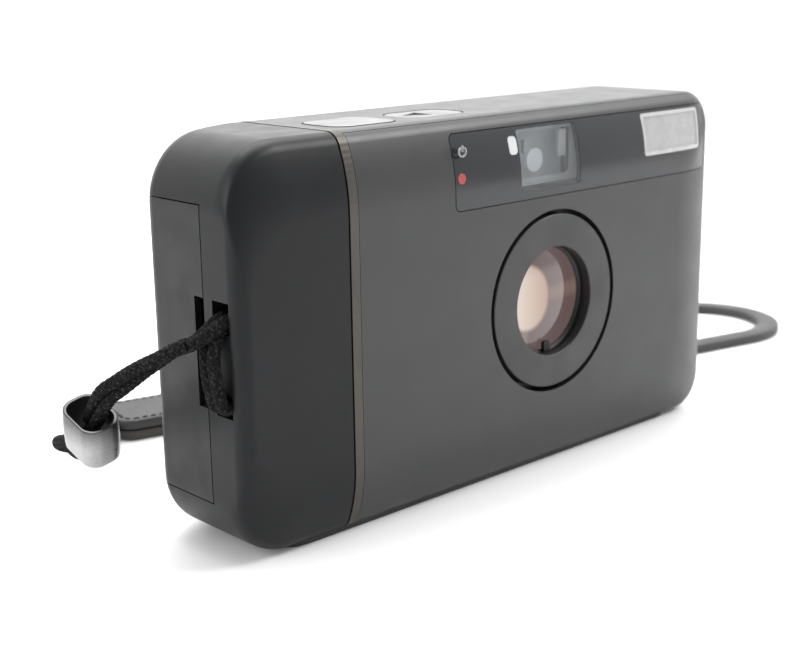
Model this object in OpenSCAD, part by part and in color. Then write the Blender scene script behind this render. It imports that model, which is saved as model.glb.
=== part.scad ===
// Compact 35 mm autofocus film camera with a wrist strap.
// Millimetres. The front faces -Y, the grip end is at -X, +Z is up.
// The origin is the centre of the camera's footprint, on the table.

/* [Body] */
// Width of the body, grip end to window end
body_w = 115; // [113:1:118]
// Height of the body, foot to top
body_h = 63; // [63:0.5:65]
// Depth of the body without the film door's bulge
body_d = 28; // [28:0.25:29]
// Wall of the outer shells
wall = 1.6; // [1.4:0.1:1.7]
// Radius of the grip end's corners, seen from the front
grip_corner_r = 10; // [8:0.5:11]
// Radius of the window end's corners, seen from the front
end_corner_r = 6; // [5:0.5:8]
// Height that the foot of the base plate stands proud
foot_h = 0.5; // [0.3:0.1:0.8]
// Gap between neighbouring shells
seam = 0.12; // [0.1:0.02:0.2]

/* [Grip and accent strip] */
// Width of the grip cap
grip_w = 20.8; // [20.4:0.1:21]
// Width of the accent strip
strip_w = 2; // [1.6:0.1:2]
// Radius of the battery
battery_r = 8.5; // [8:0.1:8.5]
// Length of the battery
battery_l = 34.5; // [33:0.5:34.5]

/* [Lens] */
// Distance of the lens axis from the grip end
lens_x = 67.5; // [67:0.1:68]
// Height of the lens axis
lens_z = 30; // [29.5:0.1:30.5]
// Radius of the sliding barrel
barrel_r = 15.2; // [15:0.05:15.2]
// Radius of the opening in the barrel's face
glass_r = 9.57; // [9:0.01:10]
// Radius of the hole in the front cover
lens_hole_r = 15.8; // [15.6:0.05:16]

/* [Windows] */
// Left edge of the dark window panel
panel_x = 43.4; // [42:0.1:45]
// Right edge of the dark window panel
panel_end_x = 111.6; // [110:0.1:112]
// Bottom edge of the dark window panel
panel_z = 48.6; // [48.5:0.1:50]
// Top edge of the dark window panel
panel_top_z = 60.7; // [60:0.1:61]
// Thickness of the dark window panel
panel_t = 0.9; // [0.7:0.1:1]

/* [Film path] */
// Distance of the film cassette's axis from the grip end
cassette_x = 99.6; // [99.4:0.1:99.6]
// Distance of both film axes behind the front
film_axis_y = 15.3; // [15.2:0.1:15.4]
// Distance of the take-up axis from the grip end
takeup_x = 35.2; // [35.1:0.1:35.4]
// Radius of the cassette chamber
chamber_r = 12.9; // [12.8:0.1:13]
// Module of the film gears
gear_m = 0.4; // [0.4:0.1:0.4]

/* [Film door] */
// How far the film door bulges behind the body
door_bulge = 1.5; // [1.3:0.1:1.8]
// Bottom edge of the film door
door_z = 4.6; // [4.6:0.1:5]
// Top edge of the film door
door_top_z = 48.2; // [47.8:0.1:48.2]

/* [Strap] */
// Radius of the strap's cord, doubled
cord_r = 1.2; // [1:0.1:1.2]
// Width of the wrist loop's leather
loop_w = 5; // [4:0.5:6]
// Thickness of one layer of leather
leather_t = 2; // [1.5:0.1:2]

/* [Hidden] */
$fn = 48;

far = 300;            // longer than anything in the model
run_fit = 0.05;       // radial clearance of a turning or sliding fit
cord_lap = 0.45;      // how far two pieces of cord run into each other
pin_r = 0.6;          // hinge pins and gear pins
front_top_r = 28;     // long curve of the front's top edge
front_top_h = 12.3;   // height of that curve
front_low_r = 24;     // long curve of the front's bottom edge
front_low_h = 11.5;   // height of that curve
edge_r = 3;           // short curve that ends a long one
back_r = 2.5;         // edges of the back
side_r = 2.5;         // front edge of the grip end
taper_r = 41.6;       // long curve of the grip end's back corner
taper_x = 22;         // where that curve leaves the back
tube_fn = 96;         // smoothness of the lens tubes
cover_x = grip_w + strip_w + seam;
film_y = 24;     // front of the film
door_back_y = body_d + door_bulge;

// Gear positions, seen from above, and their teeth
gear_z = 2.3;
gear_t = 1.4;
plate_z = 4.1;        // the chassis bottom plate starts here
plate_top = 5.5;
motor_teeth = 10;
big_teeth = 30;
idler_teeth = 36;
last_idler_teeth = 38;
fork_teeth = 36;
spool_teeth = 30;
function pitch_r(n) = gear_m * n / 2;
takeup_at = [takeup_x, film_axis_y];
reduction_turn = asin(2.2 / (pitch_r(motor_teeth) + pitch_r(big_teeth)));
reduction_at = takeup_at + (pitch_r(motor_teeth) + pitch_r(big_teeth))
             * [cos(reduction_turn), sin(reduction_turn)];
idler_1_at = reduction_at + [pitch_r(big_teeth) + pitch_r(idler_teeth), 0];
idler_2_at = idler_1_at + [2 * pitch_r(idler_teeth), 0];
cassette_at = [cassette_x, film_axis_y];
idler_3_at = apex(idler_2_at, cassette_at,
                  pitch_r(idler_teeth) + pitch_r(last_idler_teeth));
bush_at = [(idler_1_at[0] + idler_2_at[0]) / 2, 8.1];
bush_r = 3.9;

// Lens drive
ring_teeth = 88;
pinion_teeth = 12;
lens_at = [lens_x, lens_z];
lens_motor_turn = 225;
motor_r = 3;
lens_motor_at = lens_at + (pitch_r(ring_teeth) + pitch_r(pinion_teeth))
              * [cos(lens_motor_turn), sin(lens_motor_turn)];
ring_r_in = barrel_r + 0.1;
ring_r_out = 16.95;
ring_gear_y = 17.2;
guide_r_in = ring_r_out + run_fit;
guide_r_out = 17.7;
post_distance = 19.6;
blade_pivot = 8.5;    // distance of each blade's pivot from the lens axis
blade_offset = 0.8;   // distance of each blade's disc from the lens axis
blade_t = 0.25;

// Hinges and their pins, seen from above
film_hinge_at = [cover_x + 0.98, body_d - 0.8];
film_knuckle_r = 1.3;
battery_hinge_at = [18.4, body_d - 1.5];
battery_knuckle_r = 1.2;
post_x = 20.95;
battery_at = [11.3, 15.6];
battery_z = 12.5;
battery_door_y = 8.35;
battery_door_x = 17;
battery_door_z = [9.15, 54.05];

// Strap lug in the grip end
slot_y = [2.26, 6.14];
slot_z = [23.5, 40.7];
bridge_z = [27, 36];
cord_mid_y = (slot_y[0] + slot_y[1]) / 2;
strap_axis_x = -4.8;
hitch_t = 2.2;

// Wrist loop, seen from above
loop_a = [58, 63.5];
loop_b = [167, 38.6];
loop_r = 16;

// ---------- helper functions and shapes ----------

// Points of an arc, anticlockwise when a1 is above a0
function arc(c, r, a0, a1, n) =
    [for (i = [0:n]) let (a = a0 + (a1 - a0) * i / n) c + r * [cos(a), sin(a)]];

// Point at distance d from both p and q, to the right of the way from p to q
function apex(p, q, d) =
    let (w = q - p, l = norm(w), h = sqrt(d * d - l * l / 4))
    (p + q) / 2 + h * [w[1], -w[0]] / l;

// Phase of a gear of nj teeth that meshes with one of ni teeth at angle a
function mesh_phase(a, ni, phase_i, nj) =
    a + 180 - (0.5 - (a - phase_i) * ni / 360) * 360 / nj;

// The two ends of a stretch of half-length h round c
function span(c, h) = [c - h, c + h];

// All sub-parts are drawn from the grip end's front bottom corner
module place() translate([-body_w / 2, -body_d / 2, 0]) children();

module box(x, y, z)
    translate([x[0], y[0], z[0]]) cube([x[1] - x[0], y[1] - y[0], z[1] - z[0]]);

module rod_x(at, r, x)
    translate([x[0], at[0], at[1]]) rotate([0, 90, 0]) cylinder(r = r, h = x[1] - x[0]);

module rod_y(at, r, y)
    translate([at[0], y[0], at[1]]) rotate([-90, 0, 0]) cylinder(r = r, h = y[1] - y[0]);

module rod_z(at, r, z) translate([at[0], at[1], z[0]]) cylinder(r = r, h = z[1] - z[0]);

module tube_y(at, r_out, r_in, y)
    translate([at[0], y[1], at[1]]) rotate([90, 0, 0]) linear_extrude(y[1] - y[0])
        difference() {
            circle(r_out, $fn = tube_fn);
            circle(r_in, $fn = tube_fn);
        }

// A rounded rectangle seen from the front, as deep as y says
module front_slab(x, z, r, y)
    translate([0, y[1], 0]) rotate([90, 0, 0]) linear_extrude(y[1] - y[0])
        rounded_rect(x, z, r);

// A rounded rectangle seen from above
module plan_slab(x, y, r, z) translate([0, 0, z[0]]) linear_extrude(z[1] - z[0])
    rounded_rect(x, y, r);

module rounded_rect(x, y, r)
    polygon(concat(arc([x[0] + r, y[0] + r], r, 180, 270, 6),
                   arc([x[1] - r, y[0] + r], r, 270, 360, 6),
                   arc([x[1] - r, y[1] - r], r, 0, 90, 6),
                   arc([x[0] + r, y[1] - r], r, 90, 180, 6)));

// Where the short curve of radius rs ends a long one of radius rl, h tall
function short_in(rl, rs, h) = rl - sqrt(pow(rl - rs, 2) - pow(h - rs, 2));
function short_turn(rl, rs, h) = asin((h - rs) / (rl - rs));

// The body's three outlines, each moved inward by t
module front_outline(t)
    polygon(concat(
        arc([grip_corner_r, foot_h + grip_corner_r], grip_corner_r - t, 180, 270, 9),
        arc([body_w - end_corner_r, foot_h + end_corner_r], end_corner_r - t, 270, 360, 7),
        arc([body_w - end_corner_r, body_h - end_corner_r], end_corner_r - t, 0, 90, 7),
        arc([grip_corner_r, body_h - grip_corner_r], grip_corner_r - t, 90, 180, 9)));

module side_outline(t) {
    low_turn = short_turn(front_low_r, edge_r, front_low_h - foot_h);
    low_y = short_in(front_low_r, edge_r, front_low_h - foot_h);
    top_turn = short_turn(front_top_r, edge_r, front_top_h);
    top_y = short_in(front_top_r, edge_r, front_top_h);
    polygon(concat(
        arc([front_low_r, front_low_h], front_low_r - t, 180, 180 + low_turn, 6),
        arc([low_y, foot_h + edge_r], edge_r - t, 180 + low_turn, 270, 5),
        arc([body_d - back_r, foot_h + back_r], back_r - t, 270, 360, 5),
        arc([body_d - back_r, body_h - back_r], back_r - t, 0, 90, 5),
        arc([top_y, body_h - edge_r], edge_r - t, 90, 180 - top_turn, 5),
        arc([front_top_r, body_h - front_top_h], front_top_r - t,
            180 - top_turn, 180, 7)));
}

module plan_outline(t) {
    end_turn = short_turn(front_top_r, edge_r, front_top_h);
    end_y = short_in(front_top_r, edge_r, front_top_h);
    taper_c = [taper_x, body_d - taper_r];
    small_y = taper_c[1] + sqrt(pow(taper_r - edge_r, 2) - pow(taper_x - edge_r, 2));
    taper_turn = acos((edge_r - taper_x) / (taper_r - edge_r));
    polygon(concat(
        arc([side_r, side_r], side_r - t, 180, 270, 5),
        arc([body_w - front_top_h, front_top_r], front_top_r - t,
            270, 270 + end_turn, 7),
        arc([body_w - edge_r, end_y], edge_r - t, 270 + end_turn, 360, 5),
        arc([body_w - edge_r, body_d - edge_r], edge_r - t, 0, 90, 5),
        arc(taper_c, taper_r - t, 90, taper_turn, 7),
        arc([edge_r, small_y], edge_r - t, taper_turn, 180, 5)));
}

// The body's outside, moved inward by t
module body_solid(t)
    intersection() {
        translate([0, body_d + 1, 0]) rotate([90, 0, 0])
            linear_extrude(body_d + 2) front_outline(t);
        translate([-1, 0, 0]) rotate([90, 0, 90])
            linear_extrude(body_w + 2) side_outline(t);
        translate([0, 0, -1]) linear_extrude(body_h + 2) plan_outline(t);
    }

// The layer between two depths below the body's outside
module skin(t0, t1)
    difference() {
        body_solid(t0);
        body_solid(t1);
    }

// Footprint of the base plate, grown by g
module base_footprint(g, z)
    plan_slab([8.8 - g, 107 + g], [3.2 - g, 25.4 + g], 5, z);

// Spur gear, flat on z = 0, teeth thinned for backlash
module gear_profile(n, phase, bore) {
    step = 360 / n;
    root = pitch_r(n) - 1.15 * gear_m;
    tip = pitch_r(n) + 0.85 * gear_m;
    difference() {
        polygon([for (i = [0:n - 1]) let (a = phase + i * step)
            each [root * [cos(a - 0.27 * step), sin(a - 0.27 * step)],
                  tip * [cos(a - 0.1 * step), sin(a - 0.1 * step)],
                  tip * [cos(a + 0.1 * step), sin(a + 0.1 * step)],
                  root * [cos(a + 0.27 * step), sin(a + 0.27 * step)]]]);
        if (bore > 0) circle(bore);
    }
}

module gear_at(at, n, phase, bore, z)
    translate([at[0], at[1], z[0]]) linear_extrude(z[1] - z[0])
        gear_profile(n, phase, bore);

// A cord through a list of points; its pieces run into each other at the bends
module cord(points, r)
    for (i = [0:len(points) - 2]) cord_piece(points[i], points[i + 1], r);

module cord_piece(a, b, r) {
    d = b - a;
    translate(a) rotate([0, acos(d[2] / norm(d)), atan2(d[1], d[0])])
        translate([0, 0, -cord_lap]) cylinder(r = r, h = norm(d) + 2 * cord_lap, $fn = 12);
}

// ---------- shells ----------

module panel_region(g, y)
    front_slab([panel_x - g, panel_end_x + g], [panel_z - g, panel_top_z + g], 1 + g, y);

module viewfinder_region(g, y) front_slab([58.8 - g, 73.9 + g], [50 - g, 60.2 + g], 0.6, y);

module flash_region(g, y) front_slab([92 - g, 109.5 + g], [52.6 - g, 60.2 + g], 0.6, y);

module front_cover() color("#55575a") place() difference() {
    intersection() {
        skin(0, wall);
        union() {
            box([cover_x, far], [-1, 3.33], [-1, far]);
            box([cover_x, far], [3, 24.9], [-1, door_top_z]);
            box([cover_x, far], [24, far], [-1, door_z - seam]);
        }
    }
    intersection() {
        body_solid(-1);
        panel_region(seam / 2, [-2, 3.3]);
        difference() {
            body_solid(-1);
            body_solid(panel_t + run_fit);
        }
    }
    viewfinder_region(0, [-2, 6]);
    flash_region(0, [-2, 6]);
    front_slab([75.6, 85.4], [50.5, 59.5], 1, [-2, 6]);
    rod_y([45, 53.7], 0.95, [-2, 6]);
    translate([lens_x, 8, lens_z]) rotate([90, 0, 0])
        cylinder(r = lens_hole_r, h = 10, $fn = tube_fn);
    base_footprint(seam, [-1, 3]);
    latch_slot(0);
}

module latch_slot(g)
    box([body_w - 3, body_w + 1], [17 + g, 22 - g], [20.5 + g, 34.2 - g]);

module top_cover() color("#5c5e61") place() {
    difference() {
        intersection() {
            skin(0, wall);
            box([cover_x, far], [3.33 + seam, far], [door_top_z + seam, far]);
        }
        plan_slab([24.7, 38.2], [6.3, 17.2], 3.2, [60, far]);
        plan_slab([41.8, 55.4], [8.3, 17.2], 3.2, [60, far]);
        front_slab([60, 72], [51, 59.5], 1.2, [22, far]);
        front_slab([78, 92], [51, 60], 1, [22, far]);
        rod_y([101, 55.5], 1.85, [22, far]);
        front_slab([26.8, 39.2], [51.6, 59.8], 3, [22, far]);
    }
    // Ears that carry the zoom rocker's trunnions
    for (z = [[50, 51.4], [60, 61.5]]) difference() {
        box([31.4, 34.6], [24.4, 26.5], z);
        rod_z([33, 25.4], pin_r + run_fit, [49, 62]);
    }
}

module grip_cap() color("#3f4144") place() difference() {
    union() {
        intersection() {
            skin(0, wall);
            box([-1, grip_w], [-1, far], [-1, far]);
        }
        box([wall - 0.2, 6], [1.3, 7.2], [21.6, 42.6]);
    }
    battery_door_region(seam);
    box([-1, 4.8], slot_y, [slot_z[0], bridge_z[0]]);
    box([-1, 4.8], slot_y, [bridge_z[1], slot_z[1]]);
    box([wall, 4.8], slot_y, slot_z);
    base_footprint(seam, [-1, 3]);
    box([battery_door_x - 1.5, grip_w + 1], [battery_hinge_at[1] - 2, far],
        [battery_door_z[0] - seam, battery_door_z[1] + seam]);
}

module battery_door_region(g)
    front_slab([-5, battery_door_x + g], [battery_door_z[0] - g, battery_door_z[1] + g],
               1, [battery_door_y - g, far]);

module accent_strip() color("#6b6862") place() difference() {
    intersection() {
        skin(0, wall);
        box([grip_w + seam, grip_w + strip_w], [-1, far], [-1, far]);
    }
    box([0, far], [24, far], [-1, 49.2]);
    base_footprint(seam, [-1, 3]);
}

module base_plate() color("#2c2d2f") place() difference() {
    base_footprint(0, [0, 2]);
    rod_z(bush_at, bush_r, [-1, 3]);
    for (at = screw_places) {
        rod_z(at, 0.85, [-1, 3]);
        rod_z(at, 1.7, [-1, 1.05]);
    }
}

screw_places = [[28, 7.5], [28, 22.5], [76.5, 5.6], [103.5, 6.2], [104.3, 22.4]];

module hinge_post() color("#3a3b3d") place() difference() {
    union() {
        box([post_x, cover_x - 0.45], [24.2, body_d - 0.2], [door_z, 49]);
        // Arm and knuckle of the film door's hinge
        box([cover_x - 0.5, film_hinge_at[0]], [26.4, 27.4], [18.1, 33.9]);
        rod_z(film_hinge_at, film_knuckle_r, [18.1, 33.9]);
        // Arm and knuckle of the battery door's hinge
        box([battery_hinge_at[0], post_x + 0.1], [25.8, 27], [26.1, 36.9]);
        rod_z(battery_hinge_at, battery_knuckle_r, [26.1, 36.9]);
    }
    rod_z(film_hinge_at, pin_r + run_fit, [-1, far]);
    rod_z(battery_hinge_at, pin_r + run_fit, [-1, far]);
}

module window_panel() color("#2b2d33") place() difference() {
    intersection() {
        skin(0, panel_t);
        panel_region(0, [-2, 3.25]);
    }
    viewfinder_region(0.03, [-2, 6]);
    flash_region(0.03, [-2, 6]);
    rod_y([45, 53.7], 0.95, [-2, 6]);
}

module viewfinder_window() color("#9fb4c4") place() intersection() {
    skin(0.1, wall);
    viewfinder_region(-0.03, [-2, 6]);
}

module flash_lens() color("#f2f4f5") place() intersection() {
    skin(0.05, wall);
    flash_region(-0.03, [-2, 6]);
}

module self_timer_led() color("#c0302c") place() intersection() {
    body_solid(0.05);
    rod_y([45, 53.7], 0.9, [-2, 3.6]);
}

// ---------- finder, autofocus and flash ----------

module viewfinder_tunnel() color("#1e1e20") place() difference() {
    box([58, 74.6], [4.2, 26.2], [49.9, 60.3]);
    box([58.8, 73.8], [0, 30], [50.7, 59.5]);
}

module eyepiece() color("#aab6c0") place() front_slab([60.05, 71.95], [51.05, 59.45], 1.15,
                                                      [26.25, body_d - 0.4]);

module af_module() color("#141416") place() difference() {
    box([75.2, 85.8], [4.4, 12], [50.2, 59.6]);
    for (x = [78, 83]) rod_y([x, 55], 2.1, [4, 8]);
}

module flash_reflector() color("silver") place() difference() {
    box([91.8, 109.6], [4.2, 10.4], [53.9, 60.1]);
    rod_x([5.6, 57], 2.7, [92.3, 109.1]);
    box([92.3, 109.1], [3, 5.7], [54.3, 59.7]);
    rod_x([7, 57], 0.8, [90, 111]);
}

module flash_tube() color("#dfe8ee") place() rod_x([7, 57], 0.8, [91, 110.4]);

module flash_capacitor() color("#23252b") place() {
    rod_y([13.5, 55.4], 4.8, [6.4, 22.5]);
    for (x = [12.3, 14.7]) rod_y([x, 55.4], 0.35, [22.4, 24]);
}

// ---------- chassis and the fixed lens parts ----------

module chassis() color("#1b1c1e") place() difference() {
    union() {
        intersection() {
            body_solid(wall + 0.2);
            union() {
                // Bottom plate, film chambers, gate and top plates
                box([cover_x, far], [2.5, 24], [plate_z, plate_top]);
                rod_z(cassette_at, chamber_r + 0.7, [plate_z, 53.9]);
                rod_z(takeup_at, 12.4, [plate_z, 54.2]);
                box([46, 88], [21.5, film_y], [plate_z, 49]);
                box([cover_x, 56], [5, 24], [53, 54.2]);
                // Film rails above and below the gate
                for (z = [[11.6, 12.4], [47.6, 48.4]])
                    box([46, 88], [film_y - 0.1, film_y + 0.35], z);
                battery_box();
            }
        }
        // Guides of the two top buttons
        for (at = button_stems) rod_z(at, 2.4, [54.1, 60.3]);
        // Posts for the lens guide tube
        for (a = [45, 135, 315]) rod_y(post_at(a), 1.4, [16.9, 21.6]);
        // Pins of the rewind gears
        for (at = [idler_1_at, idler_2_at, idler_3_at])
            rod_z(at, pin_r, [2.05, plate_z + 0.1]);
    }
    // Room for the film door and what hangs on the back of the top cover
    box([cover_x, far], [24.38, far], [0, far]);
    // Film chambers, open to the back
    rod_z(cassette_at, chamber_r, [plate_top, 53.1]);
    rod_z(takeup_at, 11.6, [plate_top, 53]);
    box([cassette_x - 11, cassette_x + 11], [20, far], [plate_top, 53.1]);
    box([takeup_x - 11, takeup_x + 11], [21, far], [plate_top, 53]);
    box([43, 92], [film_y, far], [12.4, 47.6]);
    // Film gate
    box([lens_x - 18.2, lens_x + 18.2], [20, 25], [lens_z - 12.2, lens_z + 12.2]);
    // Bearings and holes in the two plates
    rod_z(takeup_at, 1, [plate_z - 1, plate_top + 0.1]);
    rod_z(takeup_at, 1.5 + run_fit, [52.9, 55]);
    rod_z(reduction_at, 0.9 + run_fit, [plate_z - 1, plate_top + 1]);
    rod_z(cassette_at, 1.5 + run_fit, [plate_z - 1, plate_top + 1]);
    rod_z(bush_at, bush_r + 0.1, [plate_z - 1, plate_top + 1]);
    for (at = screw_places) rod_z(at, 0.8, [plate_z - 1, plate_top - 0.2]);
    for (at = button_stems) rod_z(at, 1.2 + run_fit, [56, 61]);
    dx_places() rod_x([0, 0], 0.5, [12, 15]);
}

button_stems = [[31.5, 11.7], [48.6, 12.7]];

function post_at(a) = lens_at + post_distance * [cos(a), sin(a)];

// Cradle for the battery, open towards the battery door
module battery_box() difference() {
    box([2.2, cover_x + 0.2], [7.5, 25], [9.6, 50]);
    rod_z(battery_at, battery_r + 0.15, [11.2, 48.4]);
    box([0, battery_at[0]], [7, 30], [11.2, 48.4]);
    box([0, battery_door_x], [battery_at[1], 30], [11.2, 48.4]);
    box([16, grip_w + 0.2], [23.6, 30], [9, 51]);
    box([grip_w - 0.4, 30], [20, 30], [9, 51]);
}

module dx_places()
    for (i = [0:5]) translate([cassette_x, film_axis_y, 14 + 3 * i])
        rotate([0, 0, 215]) children();

module dx_contacts() color("gold") place() dx_places() rod_x([0, 0], 0.5, [12.65, 13.9]);

module lens_guide_tube() color("#2a2b2e") place() difference() {
    union() {
        rod_y(lens_at, guide_r_out, [4, 16.8], $fn = tube_fn);
        rod_y(lens_motor_at, motor_r + 0.7, [8, 14]);
        for (a = [45, 135, 315]) rod_y(post_at(a), 2, [13, 16.8]);
    }
    rod_y(lens_at, guide_r_in, [0, 20], $fn = tube_fn);
    rod_y(lens_motor_at, motor_r, [0, 20]);
}

module lens_motor() color("#b9bcc0") place()
    rod_y(lens_motor_at, motor_r, [5.5, 16.6]);

module lens_motor_pinion() color("#c9a24a") place() {
    translate([lens_motor_at[0], ring_gear_y + gear_t, lens_motor_at[1]]) rotate([90, 0, 0])
        linear_extrude(gear_t)
            gear_profile(pinion_teeth,
                         mesh_phase(lens_motor_turn, ring_teeth, 0, pinion_teeth), 0);
    rod_y(lens_motor_at, 0.6, [16.7, ring_gear_y + 0.1]);
}

module lens_drive_ring() color("#46484b") place() difference() {
    union() {
        rod_y(lens_at, ring_r_out, [3.4, ring_gear_y + 0.1], $fn = tube_fn);
        translate([lens_x, ring_gear_y + gear_t, lens_z]) rotate([90, 0, 0])
            linear_extrude(gear_t) gear_profile(ring_teeth, 0, 0);
    }
    rod_y(lens_at, ring_r_in, [0, 25], $fn = tube_fn);
}

// ---------- moving lens unit ----------

module lens_barrel() color("#2b2c2f") place() {
    tube_y(lens_at, barrel_r, 13.8, [1.6, 17]);
    // Cell of the front lens and cell of the rear lens
    tube_y(lens_at, 13.9, 8.6, [4.6, 8.8]);
    tube_y(lens_at, 13.9, 6.2, [11.4, 16]);
}

module barrel_bezel() color("#4b4d50") place() {
    tube_y(lens_at, barrel_r, glass_r, [0, 1.55]);
    tube_y(lens_at, 13.6, glass_r + 0.35, [1.5, 4.5]);
}

module cover_glass() color("#c8876e") place()
    rod_y(lens_at, glass_r + 0.3, [2.6, 3.6], $fn = tube_fn);

// Lens element: flat back, front face a dome of height bulge
module lens_element(r, bulge, t, y) {
    dome_r = (r * r + bulge * bulge) / (2 * bulge);
    translate([lens_x, y, lens_z]) rotate([-90, 0, 0])
        intersection() {
            translate([0, 0, dome_r]) sphere(dome_r, $fn = tube_fn);
            cylinder(r = r, h = t, $fn = tube_fn);
        }
}

module front_lens() color("#8fa3b8") place() lens_element(8.55, 2, 3.4, 4.9);

module rear_lens() color("#8fa3b8") place() lens_element(6.15, 1.2, 3, 12);

module shutter_plate() color("#1a1a1c") place() {
    tube_y(lens_at, 13.7, 3.2, [9, 9.6]);
    for (s = [-1, 1]) rod_y(lens_at + [s * blade_pivot, 0], 0.5, [9.5, 11]);
}

// Shutter blade with its counterweight; side is -1 for the left pivot and 1 for the right
module shutter_blade(side, y) difference() {
    union() {
        rod_y(lens_at + [side * blade_offset, 0], 3.8, [y, y + blade_t]);
        rod_y(lens_at + [side * blade_pivot, 0], 1.2, [y, y + blade_t]);
        box(span(lens_x + side * blade_pivot / 2, 3.2), [y, y + blade_t], span(lens_z, 0.9));
        rod_y(lens_at + [side * (blade_pivot + 2.7), 0], 2.2, [9.8, 10.95]);
    }
    rod_y(lens_at + [side * blade_pivot, 0], 0.5 + run_fit, [9, 12]);
}

module shutter_blade_a() color("#0f0f10") place() shutter_blade(-1, 9.8);

module shutter_blade_b() color("#0f0f10") place() shutter_blade(1, 10.3);

// ---------- film transport ----------

module takeup_spool() color("#1d1d1f") place() difference() {
    union() {
        gear_at(takeup_at, spool_teeth, spool_phase, 0, [5.8, 7.25]);
        rod_z(takeup_at, 7.2, [7.2, 52.5]);
        rod_z(takeup_at, 1.5, [52.4, 54.1]);
        // Claws that catch the film's perforations
        for (a = [0:60:300]) translate([takeup_x, film_axis_y, 0]) rotate([0, 0, a])
            box([6.9, 7.9], [-0.7, 0.7], [16.4, 18]);
    }
    rod_z(takeup_at, 6.3, [8, 51.5]);
    rod_z(takeup_at, 3.4 + run_fit, [5, 8.1]);
}

module film_motor() color("#b9bcc0") place() difference() {
    union() {
        rod_z(takeup_at, 6, [8.2, 34]);
        rod_z(takeup_at, 3.4, [plate_top, 8.3]);
    }
    rod_z(takeup_at, 0.75 + run_fit, [5, 9.5]);
}

big_phase = mesh_phase(reduction_turn, motor_teeth, 0, big_teeth);
spool_phase = mesh_phase(reduction_turn + 180, motor_teeth, 0, spool_teeth);
idler_1_phase = mesh_phase(0, big_teeth, big_phase, idler_teeth);
idler_2_phase = mesh_phase(0, idler_teeth, idler_1_phase, idler_teeth);
to_idler_3 = idler_3_at - idler_2_at;
idler_3_phase = mesh_phase(atan2(to_idler_3[1], to_idler_3[0]), idler_teeth,
                           idler_2_phase, last_idler_teeth);
to_fork = cassette_at - idler_3_at;
fork_phase = mesh_phase(atan2(to_fork[1], to_fork[0]), last_idler_teeth,
                        idler_3_phase, fork_teeth);

module film_motor_pinion() color("#c9a24a") place() {
    gear_at(takeup_at, motor_teeth, 0, 0, [gear_z, gear_z + gear_t]);
    rod_z(takeup_at, 0.75, [gear_z, 9.2]);
}

module reduction_gear() color("#e8e6df") place() {
    gear_at(reduction_at, big_teeth, big_phase, 0, [gear_z, gear_z + gear_t]);
    rod_z(reduction_at, 0.9, [gear_z, 6]);
    gear_at(reduction_at, motor_teeth, 0, 0, [5.8, 7.2]);
}

module rewind_gear(at, n, phase) color("#e8e6df") place()
    gear_at(at, n, phase, pin_r + run_fit, [gear_z, gear_z + gear_t]);

module rewind_gear_1() rewind_gear(idler_1_at, idler_teeth, idler_1_phase);

module rewind_gear_2() rewind_gear(idler_2_at, idler_teeth, idler_2_phase);

module rewind_gear_3() rewind_gear(idler_3_at, last_idler_teeth, idler_3_phase);

module rewind_fork() color("#2b2c2e") place() {
    gear_at(cassette_at, fork_teeth, fork_phase, 0, [gear_z, gear_z + gear_t]);
    rod_z(cassette_at, 1.5, [gear_z, 6]);
    difference() {
        rod_z(cassette_at, 2.7, [5.6, 9.4]);
        box([cassette_x - 0.7, cassette_x + 0.7], [film_axis_y - 4, film_axis_y + 4], [7, 10]);
    }
}

// ---------- film door ----------

module film_door() color("#2f3133") place() {
    difference() {
        union() {
            door_shell();
            // Knuckles and their arms
            for (z = [[10, 18], [34, 42]]) {
                rod_z(film_hinge_at, film_knuckle_r, z);
                box([film_hinge_at[0], cover_x + 3.4], [27.2, 28.4], z);
            }
        }
        rod_z(film_hinge_at, pin_r, [-1, far]);
        front_slab([95.5, 102.5], [19, 39], 1.5, [27, 31]);
    }
}

// Curved shell of the film door with rounded top and bottom edges
module door_shell() {
    x = [cover_x + 2.5, body_w];
    inner = door_back_y - 1.4;
    difference() {
        intersection() {
            translate([0, 0, door_z]) linear_extrude(door_top_z - door_z - seam)
                door_plan(0);
            translate([x[0], 0, 0]) rotate([90, 0, 90]) linear_extrude(far)
                polygon(concat([[20, door_z]], arc([door_back_y - 2, door_z + 2], 2, 270, 360, 5),
                    arc([door_back_y - 2, door_top_z - 2.1], 2, 0, 90, 5),
                    [[20, door_top_z - 0.1]]));
            box(x, [24.9 + seam, far], [0, far]);
        }
        translate([0, 0, door_z + 1.2]) linear_extrude(door_top_z - door_z - 2.5)
            door_plan(1.4);
        box([cassette_x - 12.8, cassette_x + 12.8], [20, inner], [door_z + 1, 47]);
    }
}

module door_plan(t)
    polygon(concat([[cover_x + 2.4 + t, 20]], [[body_w - t, 20]],
                   arc([body_w - 4.5, door_back_y - 4.5], 4.5 - t, 0, 90, 7),
                   [[cover_x + 2.4 + t, door_back_y - t]]));

module film_door_pin() color("silver") place() rod_z(film_hinge_at, pin_r, [9, 43]);

module film_window() color("#55504a") place()
    front_slab([95.55, 102.45], [19.05, 38.95], 1.45, [door_back_y - 1.35, door_back_y - 0.15]);

module pressure_plate() color("#3c3d40") place() difference() {
    box([47, 88], [24.6, 25.4], [13.2, 46.6]);
    for (z = [16, 44]) rod_y([67.5, z], 1, [24, 26]);
}

module pressure_spring() color("silver") place() {
    // Flat in the middle on the door, with two arms that reach to the plate
    box([60, 75], [27.75, 28.05], [25, 35]);
    for (s = [-1, 1]) translate([67.5, 0, 25]) linear_extrude(10)
        polygon([[s * 7, 28.05], [s * 7, 27.75], [s * 15, 25.75], [s * 17, 25.75],
                 [s * 17, 26.05], [s * 15.2, 26.05]]);
}

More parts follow.
